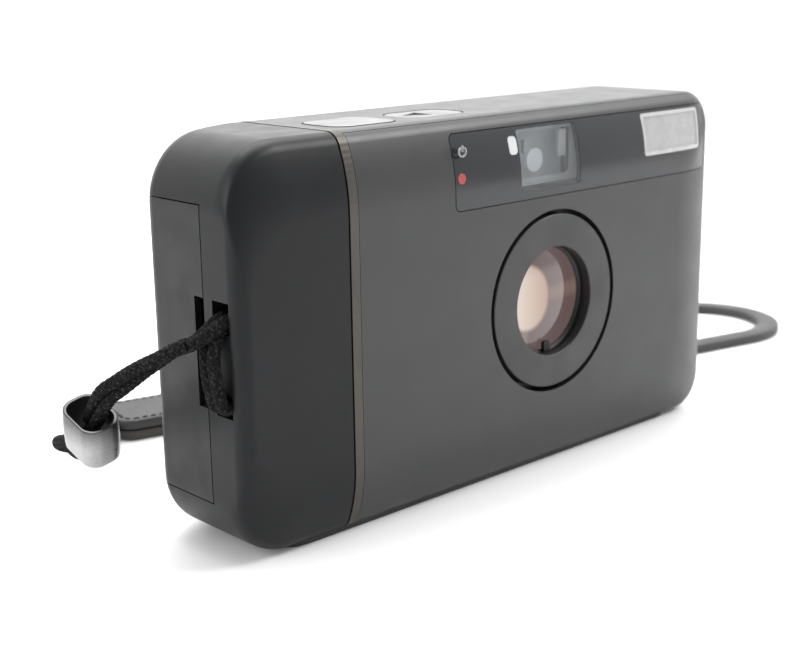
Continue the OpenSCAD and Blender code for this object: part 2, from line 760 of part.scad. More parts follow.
module door_latch() color("#6f7174") place() {
    box([113.25, body_w + 0.3], [17.2, 21.8], [23, 34]);
    for (z = [25:2:32]) box([body_w + 0.2, body_w + 0.6], [17.8, 21.2], [z, z + 0.8]);
    box([112.5, 113.3], [20.6, 24.2], [27, 31]);
}

// ---------- battery and its door ----------

module battery_door() color("#505255") place() difference() {
    union() {
        intersection() {
            skin(0, wall);
            battery_door_region(0);
        }
        for (z = [[19, 26], [37, 44]]) {
            rod_z(battery_hinge_at, battery_knuckle_r, z);
            box([battery_door_x - 0.6, battery_hinge_at[0]], [25.9, 27], z);
        }
    }
    rod_z(battery_hinge_at, pin_r, [-1, far]);
    // Nail recess in the front edge
    front_slab([-5, 0.9], [24, 40.7], 0.6, [battery_door_y - 1, 10.5]);
}

module battery_door_pin() color("silver") place() rod_z(battery_hinge_at, pin_r, [18, 45]);

module battery() color("#3b5a78") place() {
    rod_z(battery_at, battery_r, [battery_z, battery_z + battery_l - 0.8]);
    rod_z(battery_at, 3.2, [battery_z + battery_l - 0.9, battery_z + battery_l]);
}

module battery_contacts() color("gold") place() {
    rod_z(battery_at, 4, [11.2, battery_z]);
    rod_z(battery_at, 2.6, [battery_z + battery_l, 48.4]);
}

// ---------- controls ----------

module shutter_button() color("#c9cbcc") place() {
    plan_slab([24.95, 37.95], [6.55, 16.95], 3, [61.7, body_h + 0.1]);
    rod_z(button_stems[0], 1.2, [57.2, 61.8]);
}

module power_button() color("#c9cbcc") place() difference() {
    union() {
        plan_slab([42.05, 55.15], [8.55, 16.95], 3, [61.7, body_h - 0.05]);
        rod_z(button_stems[1], 1.2, [57.2, 61.8]);
    }
    // Pointer groove in its top
    translate([0, 0, body_h - 0.35]) linear_extrude(1)
        polygon([[43.6, 12.7], [48.6, 10.4], [48.6, 15]]);
}

module main_board() color("#2f5d43") place() {
    box([58.5, 108], [8, 25], [60.45, 61.1]);
    for (x = [77, 84]) box([x, x + 5], [14, 19], [59.65, 60.5]);
}

module lcd_panel() color("#8f978c") place() front_slab([78.05, 91.95], [51.05, 59.95], 0.95,
                                                      [26.3, body_d - 0.3]);

module mode_button() color("#c9cbcc") place() {
    rod_y([101, 55.5], 1.75, [26, body_d + 0.35]);
    rod_y([101, 55.5], 2.4, [25.2, 26.1]);
}

module zoom_rocker() color("#3a3c3f") place() {
    front_slab([27.2, 38.8], [52, 59.4], 2.6, [26.6, body_d + 0.4]);
    box([32, 34], [25.4, 26.7], [52.5, 59]);
    rod_z([33, 25.4], 1, [51.6, 59.8]);
    rod_z([33, 25.4], pin_r, [50.1, 61.3]);
}

// ---------- base fittings ----------

module tripod_bush() color("#8b8e91") place() difference() {
    rod_z(bush_at, bush_r, [0, 5.3]);
    rod_z(bush_at, 2.55, [-1, 4.6]);
}

module casing_screws() color("#6d6f72") place() for (at = screw_places) {
    difference() {
        rod_z(at, 1.6, [0.15, 1.05]);
        box(span(at[0], 1.2), span(at[1], 0.2), [0, 0.5]);
        box(span(at[0], 0.2), span(at[1], 1.2), [0, 0.5]);
    }
    rod_z(at, 0.8, [1, plate_top - 0.2]);
}

// ---------- strap ----------

// Flat loop of cord round the lug's bar
module strap_hitch() color("#141414") place()
    translate([0, cord_mid_y + hitch_t / 2, 0]) rotate([90, 0, 0])
        linear_extrude(hitch_t) difference() {
            rounded_rect([-3.4, 4.4], [24.1, 39.7], 2.6);
            rounded_rect([-3.4 + hitch_t, 4.4 - hitch_t], [24.1 + hitch_t, 39.7 - hitch_t],
                         0.6);
        }

module strap_cord() color("#141414") place() {
    cord([[strap_axis_x, cord_mid_y, 31.5], [-9.6, 9.6, 31.4], [-12.4, 14.6, 29.6],
          [-12.6, 17.4, 27]], cord_r);
    cord([[-11.2, 24.6, 14.2], [-10.5, 28, 8.6], [-6.5, 33.6, 3.2], [2, 44, 1.5],
          [13, 56, 1.5], [19, 62.4, 1.6]], cord_r);
}

// Metal sleeve on the cord, tilted
module strap_clasp() color("#d4d5d6") place()
    translate([-11.7, 21.1, 20.4]) rotate([28, 0, -8]) linear_extrude(11, center = true)
        difference() {
            rounded_rect([-4.2, 4.2], [-3, 3], 2.6);
            rounded_rect([-3.3, 3.3], [-2.1, 2.1], 1.8);
        }

// Two layers of leather at the cord's end, and the wrist loop
module strap_band() color("#2a2826") place() {
    turn = atan2(loop_b[1] - loop_a[1], loop_b[0] - loop_a[0]);
    long = norm(loop_b - loop_a);
    translate([loop_a[0], loop_a[1], 0.1]) rotate([0, 0, turn]) {
        linear_extrude(leather_t) difference() {
            stadium(long, loop_r + loop_w / 2);
            stadium(long, loop_r - loop_w / 2);
        }
        linear_extrude(2 * leather_t) rounded_rect([-38, -13.6], [-7, 7], 3);
    }
}

module stadium(l, r) {
    circle(r);
    translate([l, 0]) circle(r);
    translate([0, -r]) square([l, 2 * r]);
}

front_cover();
top_cover();
grip_cap();
accent_strip();
base_plate();
hinge_post();
window_panel();
viewfinder_window();
flash_lens();
self_timer_led();
viewfinder_tunnel();
eyepiece();
af_module();
flash_reflector();
flash_tube();
flash_capacitor();
chassis();
lens_guide_tube();
lens_drive_ring();
lens_motor();
lens_motor_pinion();
lens_barrel();
barrel_bezel();
cover_glass();
front_lens();
shutter_plate();
shutter_blade_a();
shutter_blade_b();
rear_lens();
takeup_spool();
film_motor();
film_motor_pinion();
reduction_gear();
rewind_gear_1();
rewind_gear_2();
rewind_gear_3();
rewind_fork();
dx_contacts();
film_door();
film_door_pin();
film_window();
pressure_plate();
pressure_spring();
door_latch();
battery_door();
battery_door_pin();
battery();
battery_contacts();
shutter_button();
power_button();
main_board();
lcd_panel();
mode_button();
zoom_rocker();
tripod_bush();
casing_screws();
strap_hitch();
strap_cord();
strap_clasp();
strap_band();
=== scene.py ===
"""Looks for the compact 35 mm film camera: shells, glass, strap, materials, light and camera."""

import bisect
import math
from contextlib import contextmanager

import bmesh
import bpy
from mathutils import Matrix, Vector


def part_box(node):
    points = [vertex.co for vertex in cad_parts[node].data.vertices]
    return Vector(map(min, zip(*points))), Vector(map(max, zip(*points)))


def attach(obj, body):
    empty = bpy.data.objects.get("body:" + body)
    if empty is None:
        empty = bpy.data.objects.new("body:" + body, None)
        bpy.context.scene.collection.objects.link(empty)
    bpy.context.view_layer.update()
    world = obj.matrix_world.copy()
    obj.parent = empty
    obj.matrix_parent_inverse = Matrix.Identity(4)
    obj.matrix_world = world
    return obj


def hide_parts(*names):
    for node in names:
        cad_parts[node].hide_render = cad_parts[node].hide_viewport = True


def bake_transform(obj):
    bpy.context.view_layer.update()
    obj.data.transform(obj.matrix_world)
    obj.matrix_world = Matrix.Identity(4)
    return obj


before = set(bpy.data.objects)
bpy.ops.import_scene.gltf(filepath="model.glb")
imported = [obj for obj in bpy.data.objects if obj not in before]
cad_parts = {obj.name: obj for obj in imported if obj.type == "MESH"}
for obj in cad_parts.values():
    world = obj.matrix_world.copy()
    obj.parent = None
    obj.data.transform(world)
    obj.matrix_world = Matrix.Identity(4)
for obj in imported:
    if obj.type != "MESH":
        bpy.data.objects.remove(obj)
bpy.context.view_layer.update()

MM = 0.001
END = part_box("grip_cap")[0].x          # grip end of the body
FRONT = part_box("front_cover")[0].y     # front plane of the body
WIDTH = (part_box("front_cover")[1].x - END) / MM
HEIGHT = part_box("top_cover")[1].z / MM
DEPTH = (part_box("top_cover")[1].y - FRONT) / MM
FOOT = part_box("grip_cap")[0].z / MM    # underside of the shells
WALL = 1.6
SEAM = 0.12
FAR = 200.0


def at(x, y, z):
    """Point given in mm from the grip end, the front plane and the table."""
    return Vector((END + x * MM, FRONT + y * MM, z * MM))


def local_box(node):
    """Low and high corner of a CAD node, in mm from the grip end, the front and the table."""
    low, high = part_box(node)
    shift = Vector((END, FRONT, 0))
    return (low - shift) / MM, (high - shift) / MM


# ---- mesh helpers

def new_object(name, data):
    """Object with its mesh, light or camera data, linked into the scene."""
    obj = bpy.data.objects.new(name, data)
    bpy.context.scene.collection.objects.link(obj)
    return obj


def mesh_object(name, verts, faces):
    """Object from points in mm (local frame) and faces."""
    mesh = bpy.data.meshes.new(name)
    mesh.from_pydata([at(*v) for v in verts], [], faces)
    mesh.update()
    return new_object(name, mesh)


def ring_faces(count, n, closed=False):
    """Quads between rings of n points; closed also joins the last ring to the first."""
    faces = []
    for k in range(count if closed else count - 1):
        here, there = k * n, (k + 1) % count * n
        faces += [(here + i, here + (i + 1) % n, there + (i + 1) % n, there + i)
                  for i in range(n)]
    return faces


def tube_faces(count, n):
    """Quads between rings of n points, with a cap at each end."""
    return ring_faces(count, n) + [tuple(range(n))[::-1],
                                   tuple(range((count - 1) * n, count * n))]


@contextmanager
def edited(obj):
    """The object's mesh as a bmesh, written back at the end."""
    bm = bmesh.new()
    bm.from_mesh(obj.data)
    yield bm
    bm.to_mesh(obj.data)
    bm.free()


def shade(obj, degrees=32.0):
    """Smooth faces, with edges steeper than the angle kept sharp."""
    limit = math.radians(degrees)
    with edited(obj) as bm:
        bmesh.ops.remove_doubles(bm, verts=bm.verts, dist=2e-7)
        bmesh.ops.recalc_face_normals(bm, faces=bm.faces)
        for face in bm.faces:
            face.smooth = True
        for edge in bm.edges:
            edge.smooth = len(edge.link_faces) == 2 and edge.calc_face_angle(0) < limit


def face_outward(obj):
    with edited(obj) as bm:
        bmesh.ops.recalc_face_normals(bm, faces=bm.faces)


def triangulate(obj):
    with edited(obj) as bm:
        bmesh.ops.triangulate(bm, faces=bm.faces)


def weighted(obj):
    mod = obj.modifiers.new("weighted", "WEIGHTED_NORMAL")
    mod.keep_sharp = True
    mod.weight = 90


def bevel(obj, width):
    mod = obj.modifiers.new("bevel", "BEVEL")
    mod.width = width * MM
    mod.segments = 2
    mod.limit_method = "ANGLE"
    mod.angle_limit = math.radians(35)


def smooth_group():
    """Geometry nodes that weld, smooth and keep steep edges sharp."""
    group = bpy.data.node_groups.new("smooth_by_angle", "GeometryNodeTree")
    group.interface.new_socket("Geometry", in_out="INPUT", socket_type="NodeSocketGeometry")
    group.interface.new_socket("Geometry", in_out="OUTPUT", socket_type="NodeSocketGeometry")
    start, end, weld, all_smooth, sharp, angle, steep = (group.nodes.new(kind) for kind in (
        "NodeGroupInput", "NodeGroupOutput", "GeometryNodeMergeByDistance",
        "GeometryNodeSetShadeSmooth", "GeometryNodeSetShadeSmooth",
        "GeometryNodeInputMeshEdgeAngle", "FunctionNodeCompare"))
    weld.inputs["Distance"].default_value = 2e-6
    all_smooth.domain, sharp.domain = "FACE", "EDGE"
    sharp.inputs["Shade Smooth"].default_value = False
    steep.operation = "GREATER_THAN"
    steep.inputs[1].default_value = math.radians(28)
    for source, target in ((start.outputs[0], weld.inputs["Geometry"]),
                           (weld.outputs[0], all_smooth.inputs["Geometry"]),
                           (all_smooth.outputs[0], sharp.inputs["Geometry"]),
                           (angle.outputs["Unsigned Angle"], steep.inputs[0]),
                           (steep.outputs[0], sharp.inputs["Selection"]),
                           (sharp.outputs[0], end.inputs[0])):
        group.links.new(source, target)
    return group


SMOOTH = smooth_group()


def finish_cad(node, bevel_mm=0.0):
    """Smooth shading and small rounded edges for a CAD node that stays."""
    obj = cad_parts[node]
    if obj.data.has_custom_normals:
        bpy.context.view_layer.objects.active = obj
        obj.select_set(True)
        bpy.ops.mesh.customdata_custom_splitnormals_clear()
        obj.select_set(False)
    for poly in obj.data.polygons:
        poly.use_smooth = True
    mod = obj.modifiers.new("smooth", "NODES")
    mod.node_group = SMOOTH
    if bevel_mm:
        bevel(obj, bevel_mm)
        weighted(obj)
    return obj


# ---- prisms and booleans

def arc(cx, cy, r, a0, a1, n):
    return [(cx + r * math.cos(math.radians(a0 + (a1 - a0) * i / n)),
             cy + r * math.sin(math.radians(a0 + (a1 - a0) * i / n))) for i in range(n + 1)]


def round_rect(x0, x1, y0, y1, r, n=8, right_r=None):
    """Rectangle with rounded corners; the right side may have its own radius."""
    if r <= 0:
        return [(x0, y0), (x1, y0), (x1, y1), (x0, y1)]
    q = r if right_r is None else right_r
    return (arc(x0 + r, y0 + r, r, 180, 270, n) + arc(x1 - q, y0 + q, q, 270, 360, n)
            + arc(x1 - q, y1 - q, q, 0, 90, n) + arc(x0 + r, y1 - r, r, 90, 180, n))


def circle(cx, cy, r, n=96):
    return arc(cx, cy, r, 0, 360 - 360 / n, n - 1)


def prism_geometry(outline, axis, low, high):
    """Closed prism: the outline lies across the axis, from low to high along it."""
    turned = {"x": lambda u, v, w: (w, u, v), "y": lambda u, v, w: (u, w, v),
              "z": lambda u, v, w: (u, v, w)}[axis]
    n = len(outline)
    verts = [turned(u, v, w) for w in (low, high) for u, v in outline]
    faces = [list(range(n)), list(range(n, 2 * n))[::-1]]
    faces += [(i, i + n, (i + 1) % n + n, (i + 1) % n) for i in range(n)]
    return verts, faces


def prism(outline, axis, low, high, name="cutter"):
    verts, faces = prism_geometry(outline, axis, low, high)
    obj = mesh_object(name, verts, faces)
    face_outward(obj)
    return obj


def block(x, y, z):
    return prism(round_rect(x[0], x[1], y[0], y[1], 0), "z", z[0], z[1])


def combine(obj, tool, operation):
    """Applies one boolean and deletes the tool; triangles keep curved faces true."""
    triangulate(obj)
    triangulate(tool)
    mod = obj.modifiers.new("cut", "BOOLEAN")
    mod.operation = operation
    mod.object = tool
    mod.solver = "EXACT"
    depsgraph = bpy.context.evaluated_depsgraph_get()
    result = bpy.data.meshes.new_from_object(obj.evaluated_get(depsgraph))
    obj.modifiers.clear()
    old = obj.data
    obj.data = result
    bpy.data.meshes.remove(old)
    tool_mesh = tool.data
    bpy.data.objects.remove(tool)
    bpy.data.meshes.remove(tool_mesh)


def carve(obj, keep=(), cut=()):
    """Keeps what lies in the union of the keep solids, then cuts the others away."""
    if keep:
        whole = keep[0]
        for extra in keep[1:]:
            combine(whole, extra, "UNION")
        combine(obj, whole, "INTERSECT")
    for tool in cut:
        combine(obj, tool, "DIFFERENCE")
    return obj


# ---- body surface

FRONT_ROLL = (28.0, 12.3)     # radius and width of the roll at the top and the window end
LOW_ROLL = (24.0, 11.5)
EDGE_R = 3.0
BACK_R = 2.5
SIDE_R = 2.5
TAPER_R, TAPER_X = 41.6, 22.0
GRIP_CORNER, END_CORNER = 10.0, 6.0
ROLL_STEPS, EDGE_STEPS, SMALL_STEPS, CORNER_STEPS = 14, 8, 6, 12
MIN_STEP = 0.012              # sections closer together than this are merged
FLAT, STEEPEST = 0.004, math.radians(32)


def angles(start, end, steps, first=0):
    """Equal steps of an angle, the first ones left out where asked."""
    return [start + (end - start) * i / steps for i in range(first, steps + 1)]


def roll_profile(radius, width, t, back_r):
    """(depth, inset, tilt) down one side: long roll, short edge, then the back edge."""
    sine = (width - EDGE_R) / (radius - EDGE_R)
    turn = math.asin(sine)
    edge_y = radius - math.sqrt((radius - EDGE_R) ** 2 - (width - EDGE_R) ** 2)
    points = []
    for a in angles(0, turn, ROLL_STEPS):
        points.append((radius - (radius - t) * math.cos(a), width - (radius - t) * math.sin(a), a))
    for a in angles(turn, math.pi / 2, EDGE_STEPS, 1):
        points.append((edge_y - (EDGE_R - t) * math.cos(a),
                       EDGE_R - (EDGE_R - t) * math.sin(a), a))
    for a in angles(0, math.pi / 2, EDGE_STEPS):
        points.append((DEPTH - back_r + (back_r - t) * math.sin(a),
                       back_r - (back_r - t) * math.cos(a), math.pi / 2 + a))
    return points


def grip_profile(t):
    """(depth, inset, tilt) down the grip end: small front edge, then the tapered corner."""
    points = []
    for a in angles(0, math.pi / 2, EDGE_STEPS):
        points.append((SIDE_R - (SIDE_R - t) * math.cos(a),
                       SIDE_R - (SIDE_R - t) * math.sin(a), a))
    centre_y = DEPTH - TAPER_R
    small_y = centre_y + math.sqrt((TAPER_R - EDGE_R) ** 2 - (TAPER_X - EDGE_R) ** 2)
    taper_turn = math.acos((EDGE_R - TAPER_X) / (TAPER_R - EDGE_R))
    for a in angles(math.pi, taper_turn, SMALL_STEPS):
        points.append((small_y + (EDGE_R - t) * math.sin(a),
                       EDGE_R + (EDGE_R - t) * math.cos(a), 1.5 * math.pi - a))
    for a in angles(taper_turn, math.pi / 2, ROLL_STEPS, 1):
        points.append((centre_y + (TAPER_R - t) * math.sin(a),
                       TAPER_X + (TAPER_R - t) * math.cos(a), 1.5 * math.pi - a))
    return points


def profile_at(profile, y):
    """Inset and tilt of one side at depth y."""
    i = min(max(bisect.bisect_right(profile, (y, FAR)), 1), len(profile) - 1)
    (y0, v0, a0), (y1, v1, a1) = profile[i - 1], profile[i]
    share = min(max((y - y0) / (y1 - y0), 0.0), 1.0) if y1 > y0 else 1.0
    return v0 + (v1 - v0) * share, a0 + (a1 - a0) * share


def side_profiles(t):
    """Profiles of the top, the underside, the window end and the grip end."""
    return (roll_profile(*FRONT_ROLL, t, BACK_R),
            roll_profile(LOW_ROLL[0], LOW_ROLL[1] - FOOT, t, BACK_R),
            roll_profile(*FRONT_ROLL, t, EDGE_R), grip_profile(t))


def body_section(y, t, profiles):
    """Rounded outline of the body across its depth at y."""
    top, low, end, grip = (profile_at(p, y)[0] for p in profiles)
    return round_rect(grip, WIDTH - end, FOOT + low, HEIGHT - top, GRIP_CORNER - t,
                      CORNER_STEPS, END_CORNER - t)


def body_surface(t, inward=False):
    """Closed surface of the body moved inward by t, with every edge rolled over."""
    profiles = side_profiles(t)
    depths = sorted({round(p[0], 4) for profile in profiles for p in profile})
    thinned = [depths[0]]
    for y in depths[1:-1]:
        if y - thinned[-1] > MIN_STEP and depths[-1] - y > MIN_STEP:
            thinned.append(y)
    thinned.append(depths[-1])
    verts = [(x, y, z) for y in thinned for x, z in body_section(y, t, profiles)]
    n = 4 * (CORNER_STEPS + 1)
    faces = ring_faces(len(thinned), n)
    last = (len(thinned) - 1) * n
    for k in range(n // 2 - 1):
        faces.append((k, n - 1 - k, n - 2 - k, k + 1))
        faces.append((last + k, last + k + 1, last + n - 2 - k, last + n - 1 - k))
    if inward:
        faces = [f[::-1] for f in faces]
    return verts, faces


def surface_normal(point, t, profiles):
    """Exact normal of the body surface at a point on it, or None away from the surface."""
    x, y, z = point
    if y < t + FLAT or y > DEPTH - t - FLAT:
        return Vector((0, -1, 0)) if y < DEPTH / 2 else Vector((0, 1, 0))
    (top, top_tilt), (low, low_tilt), (end, end_tilt), (grip, grip_tilt) = (
        profile_at(p, y) for p in profiles)
    left = x < WIDTH / 2
    r = (GRIP_CORNER if left else END_CORNER) - t
    nearest_x = max(x, grip + r) if left else min(x, WIDTH - end - r)
    nearest_z = min(max(z, FOOT + low + r), HEIGHT - top - r)
    across = Vector((x - nearest_x, z - nearest_z))
    if abs(across.length - r) > 0.03:
        return None
    across.normalize()
    tilts = (grip_tilt if left else end_tilt, top_tilt if across.y > 0 else low_tilt)
    rise = -sum(abs(part) / math.tan(min(max(tilt, 0.01), math.pi - 0.01))
                for part, tilt in zip(across, tilts))
    return Vector((across.x, rise, across.y)).normalized()


def follow_surface(obj, t):
    """Gives the outer faces the exact normals of the surface they were cut from."""
    profiles = side_profiles(t)
    origin = at(0, 0, 0)
    triangulate(obj)
    mesh = obj.data
    exact = [surface_normal((v.co - origin) / MM, t, profiles) for v in mesh.vertices]
    steepest = math.cos(STEEPEST)
    result = [None] * len(mesh.loops)
    for poly in mesh.polygons:
        for index in poly.loop_indices:
            normal = exact[mesh.loops[index].vertex_index]
            if normal is None or normal.dot(poly.normal) < steepest:
                normal = poly.normal
            result[index] = tuple(normal)
    mesh.normals_split_custom_set(result)


def skin(name, t0, t1, keep, cut=()):
    """Part of the body's wall between two depths below its surface."""
    verts, faces = body_surface(t0)
    inner_verts, inner_faces = body_surface(t1, inward=True)
    shift = len(verts)
    faces += [tuple(i + shift for i in f) for f in inner_faces]
    obj = mesh_object(name, verts + inner_verts, faces)
    carve(obj, keep, cut)
    shade(obj, 30)
    follow_surface(obj, t0)
    return obj


def through(outline, low=-2.0, high=6.0):
    return prism(outline, "y", low, high)


def base_cut():
    return prism(grown_footprint("base_plate", SEAM, 5 + SEAM), "z", -1, 3)


# ---- materials

class Shader:
    """A material under construction, with short calls for the nodes it needs."""

    def __init__(self, name):
        self.material = bpy.data.materials.new(name)
        self.material.use_nodes = True
        self.tree = self.material.node_tree
        self.bsdf = self.tree.nodes["Principled BSDF"]
        self.output = self.tree.nodes["Material Output"]
        self.coords = self.node("ShaderNodeTexCoord").outputs["Object"]

    def node(self, kind, **values):
        made = self.tree.nodes.new(kind)
        for key, value in values.items():
            setattr(made, key, value)
        return made

    def link(self, source, target):
        self.tree.links.new(source, target)

    def put(self, socket, value):
        if isinstance(value, bpy.types.NodeSocket):
            self.link(value, socket)
        elif value is not None:
            socket.default_value = value

    def set(self, **values):
        for key, value in values.items():
            self.put(self.bsdf.inputs[key.replace("_", " ")], value)

    def noise(self, scale, detail=4.0, stretch=None):
        made = self.node("ShaderNodeTexNoise")
        for key, value in (("Scale", scale), ("Detail", detail), ("Roughness", 0.55)):
            made.inputs[key].default_value = value
        vector = self.coords
        if stretch:
            mapping = self.node("ShaderNodeMapping")
            self.link(vector, mapping.inputs["Vector"])
            mapping.inputs["Scale"].default_value = stretch
            vector = mapping.outputs["Vector"]
        self.link(vector, made.inputs["Vector"])
        return made.outputs["Fac"]

    def cells(self, scale, feature="F1", random=1.0):
        made = self.node("ShaderNodeTexVoronoi", feature=feature)
        made.inputs["Scale"].default_value = scale
        made.inputs["Randomness"].default_value = random
        self.link(self.coords, made.inputs["Vector"])
        return made.outputs["Distance"]

    def math(self, operation, a, b=0.0, clamp=False):
        made = self.node("ShaderNodeMath", operation=operation, use_clamp=clamp)
        self.put(made.inputs[0], a)
        self.put(made.inputs[1], b)
        return made.outputs[0]

    def span(self, value, low, high, to_low=0.0, to_high=1.0):
        made = self.node("ShaderNodeMapRange")
        self.put(made.inputs["Value"], value)
        for key, number in (("From Min", low), ("From Max", high), ("To Min", to_low),
                            ("To Max", to_high)):
            self.put(made.inputs[key], number)
        return made.outputs["Result"]

    def blend(self, share, a, b):
        made = self.node("ShaderNodeMix", data_type="RGBA")
        self.put(made.inputs[0], share)
        self.put(made.inputs[6], a)
        self.put(made.inputs[7], b)
        return made.outputs[2]

    def bump(self, height, strength=0.3, distance=0.1):
        made = self.node("ShaderNodeBump")
        made.inputs["Strength"].default_value = strength
        made.inputs["Distance"].default_value = distance * MM
        self.link(height, made.inputs["Height"])
        self.link(made.outputs["Normal"], self.bsdf.inputs["Normal"])

    def surface(self, kind, first, second, share=None):
        """Sends two shaders, mixed by a share or added, to the output."""
        made = self.node(kind)
        if share is not None:
            self.put(made.inputs["Fac"], share)
        self.link(first, made.inputs[-2])
        self.link(second, made.inputs[-1])
        self.link(made.outputs[0], self.output.inputs["Surface"])


def grey(value, alpha=1.0):
    return (value, value, value, alpha)


def scaled(colour, factor):
    return tuple(min(1.0, c * factor) for c in colour[:3]) + (1.0,)


def coated(s, colour, rough=0.45, metal=0.0, grain=2600.0, bump=0.12, vary=0.14,
           rough_vary=0.08, dust=0.0, coat=0.0, level=0.5, brushed=None):
    """Moulded or painted surface: cloudy colour, uneven gloss, fine grain, a little dust."""
    cloud = s.noise(55, 5)
    base = s.blend(cloud, scaled(colour, 1 - vary), scaled(colour, 1 + vary))
    gloss = s.span(s.noise(190, 4), 0.3, 0.7, rough - rough_vary, rough + rough_vary)
    fine = s.noise(grain, 3, stretch=brushed)
    if dust:
        spots = s.cells(210)
        chosen = s.math("GREATER_THAN", s.noise(160, 1), 0.66)
        speck = s.math("MULTIPLY", s.math("LESS_THAN", spots, 0.028), chosen)
        base = s.blend(s.math("MULTIPLY", speck, dust), base, grey(0.55))
        gloss = s.math("ADD", gloss, s.math("MULTIPLY", speck, 0.3))
    s.set(Base_Color=base, Roughness=gloss, Metallic=metal, Coat_Weight=coat,
          Coat_Roughness=0.25, Specular_IOR_Level=level)
    s.bump(fine, bump, 0.05)


def ribbed_metal(s, colour):
    """Satin metal with fine ribs across it."""
    wave = s.node("ShaderNodeTexWave", bands_direction="Z")
    wave.inputs["Scale"].default_value = 320
    wave.inputs["Distortion"].default_value = 0.0
    s.link(s.coords, wave.inputs["Vector"])
    cloud = s.noise(120, 5)
    s.set(Base_Color=s.blend(cloud, scaled(colour, 0.8), scaled(colour, 1.15)), Metallic=0.75,
          Roughness=s.span(s.noise(700, 3), 0.3, 0.7, 0.34, 0.48))
    s.bump(wave.outputs["Fac"], 0.25, 0.06)


def glass(s, tint, clear=0.9):
    """Thin clear window: lets light straight through and reflects at a slant."""
    through_it = s.node("ShaderNodeBsdfTransparent")
    haze = s.blend(s.noise(160, 3), scaled(tint, 0.94), scaled(tint, 1.0))
    s.link(haze, through_it.inputs["Color"])
    s.set(Base_Color=scaled(tint, 0.25), Specular_IOR_Level=1.0,
          Roughness=s.span(s.noise(300, 3), 0.3, 0.7, 0.03, 0.06))
    facing = s.node("ShaderNodeLayerWeight")
    facing.inputs["Blend"].default_value = 0.35
    share = s.math("SUBTRACT", clear, s.math("MULTIPLY", facing.outputs["Facing"], 0.35),
                   clamp=True)
    s.surface("ShaderNodeMixShader", s.bsdf.outputs[0], through_it.outputs[0], share)
    s.material.surface_render_method = "BLENDED"


SPOT = (0.576, -0.2)          # reflection direction, x and z, of the light box whose reflection is painted on
SPOT_SIZE = (0.185, 0.21)


def lens_painted_reflection(s):
    """Lens with a pink and amber coating; its colours and a soft light box's reflection are
    painted on as emission.
    """
    parts = s.node("ShaderNodeSeparateXYZ")
    s.link(s.node("ShaderNodeTexCoord").outputs["Reflection"], parts.inputs[0])
    u, v = (s.span(parts.outputs[key], middle - half, middle + half, -1.0, 1.0)
            for key, middle, half in zip("XZ", SPOT, SPOT_SIZE))
    far = s.math("ADD", s.math("MULTIPLY", u, u), s.math("MULTIPLY", v, v))
    spot = s.span(far, 1.05, 0.8)
    painted_halo = s.span(far, 6.0, 1.0)
    cloud = s.noise(90, 3)
    tint = s.blend(painted_halo, (0.17, 0.125, 0.135, 1), (0.135, 0.088, 0.078, 1))
    tint = s.blend(s.math("MULTIPLY", cloud, 0.2), tint, (0.26, 0.205, 0.225, 1))
    s.set(Base_Color=(0.012, 0.008, 0.01, 1), Roughness=0.04, Specular_IOR_Level=0.6)
    # Emission paints the light box's reflection and the coating's colours onto the lens, placed by
    # the reflection direction.
    painted_reflection = s.node("ShaderNodeEmission")
    painted_spot_colour = s.blend(s.span(u, -0.5, 0.9), (0.86, 0.76, 0.66, 1), (0.55, 0.36, 0.27, 1))
    s.link(s.blend(spot, tint, painted_spot_colour), painted_reflection.inputs["Color"])
    painted_reflection.inputs["Strength"].default_value = 0.8
    s.surface("ShaderNodeAddShader", s.bsdf.outputs[0], painted_reflection.outputs[0])


def cord_fibre(s):
    """Black braided synthetic: fine threads, a faint sheen and a few lighter fibres."""
    thread = s.noise(3800, 3)
    light = s.span(s.noise(2300, 2), 0.5, 0.72)
    s.set(Base_Color=s.blend(light, grey(0.003), grey(0.032)), Roughness=0.78,
          Specular_IOR_Level=0.14)
    s.bump(thread, 0.7, 0.1)


def clasp_metal(s):
    """Satin nickel with painted shade darkening it towards the upper lip, and fine drawn lines."""
    parts = s.node("ShaderNodeSeparateXYZ")
    s.link(s.coords, parts.inputs[0])
    low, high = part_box("strap_clasp")
    middle = (low.z + high.z) / 2
    cloud = s.math("MULTIPLY", s.noise(260, 4), 0.25)
    # Painted shade: the colour runs from light to dark with height towards the upper lip.
    share = s.math("ADD", s.span(parts.outputs["Z"], middle - 2 * MM, middle + 2.5 * MM), cloud)
    s.set(Base_Color=s.blend(share, grey(0.40), grey(0.07)), Metallic=0.85,
          Roughness=s.span(s.noise(700, 3), 0.3, 0.7, 0.24, 0.36))
    s.bump(s.noise(1500, 3, stretch=(1, 1, 9)), 0.12, 0.05)


def leather(s, colour, rough=0.5):
    """Leather with small creased cells and a worn, uneven gloss."""
    creases = s.cells(900, "DISTANCE_TO_EDGE")
    pores = s.cells(2200)
    wear = s.noise(70, 6)
    s.set(Base_Color=s.blend(wear, scaled(colour, 0.65), scaled(colour, 1.5)),
          Roughness=s.span(wear, 0.3, 0.7, rough - 0.1, rough + 0.14), Specular_IOR_Level=0.45)
    height = s.math("ADD", s.span(creases, 0.0, 0.12), s.math("MULTIPLY", pores, 0.35))
    s.bump(height, 0.45, 0.12)


def board(s):
    """Green circuit board with lighter tracks."""
    tracks = s.span(s.cells(420, "DISTANCE_TO_EDGE"), 0.02, 0.06)
    s.set(Base_Color=s.blend(tracks, (0.05, 0.2, 0.1, 1), (0.015, 0.09, 0.04, 1)), Roughness=0.4)
    s.bump(tracks, 0.3, 0.05)


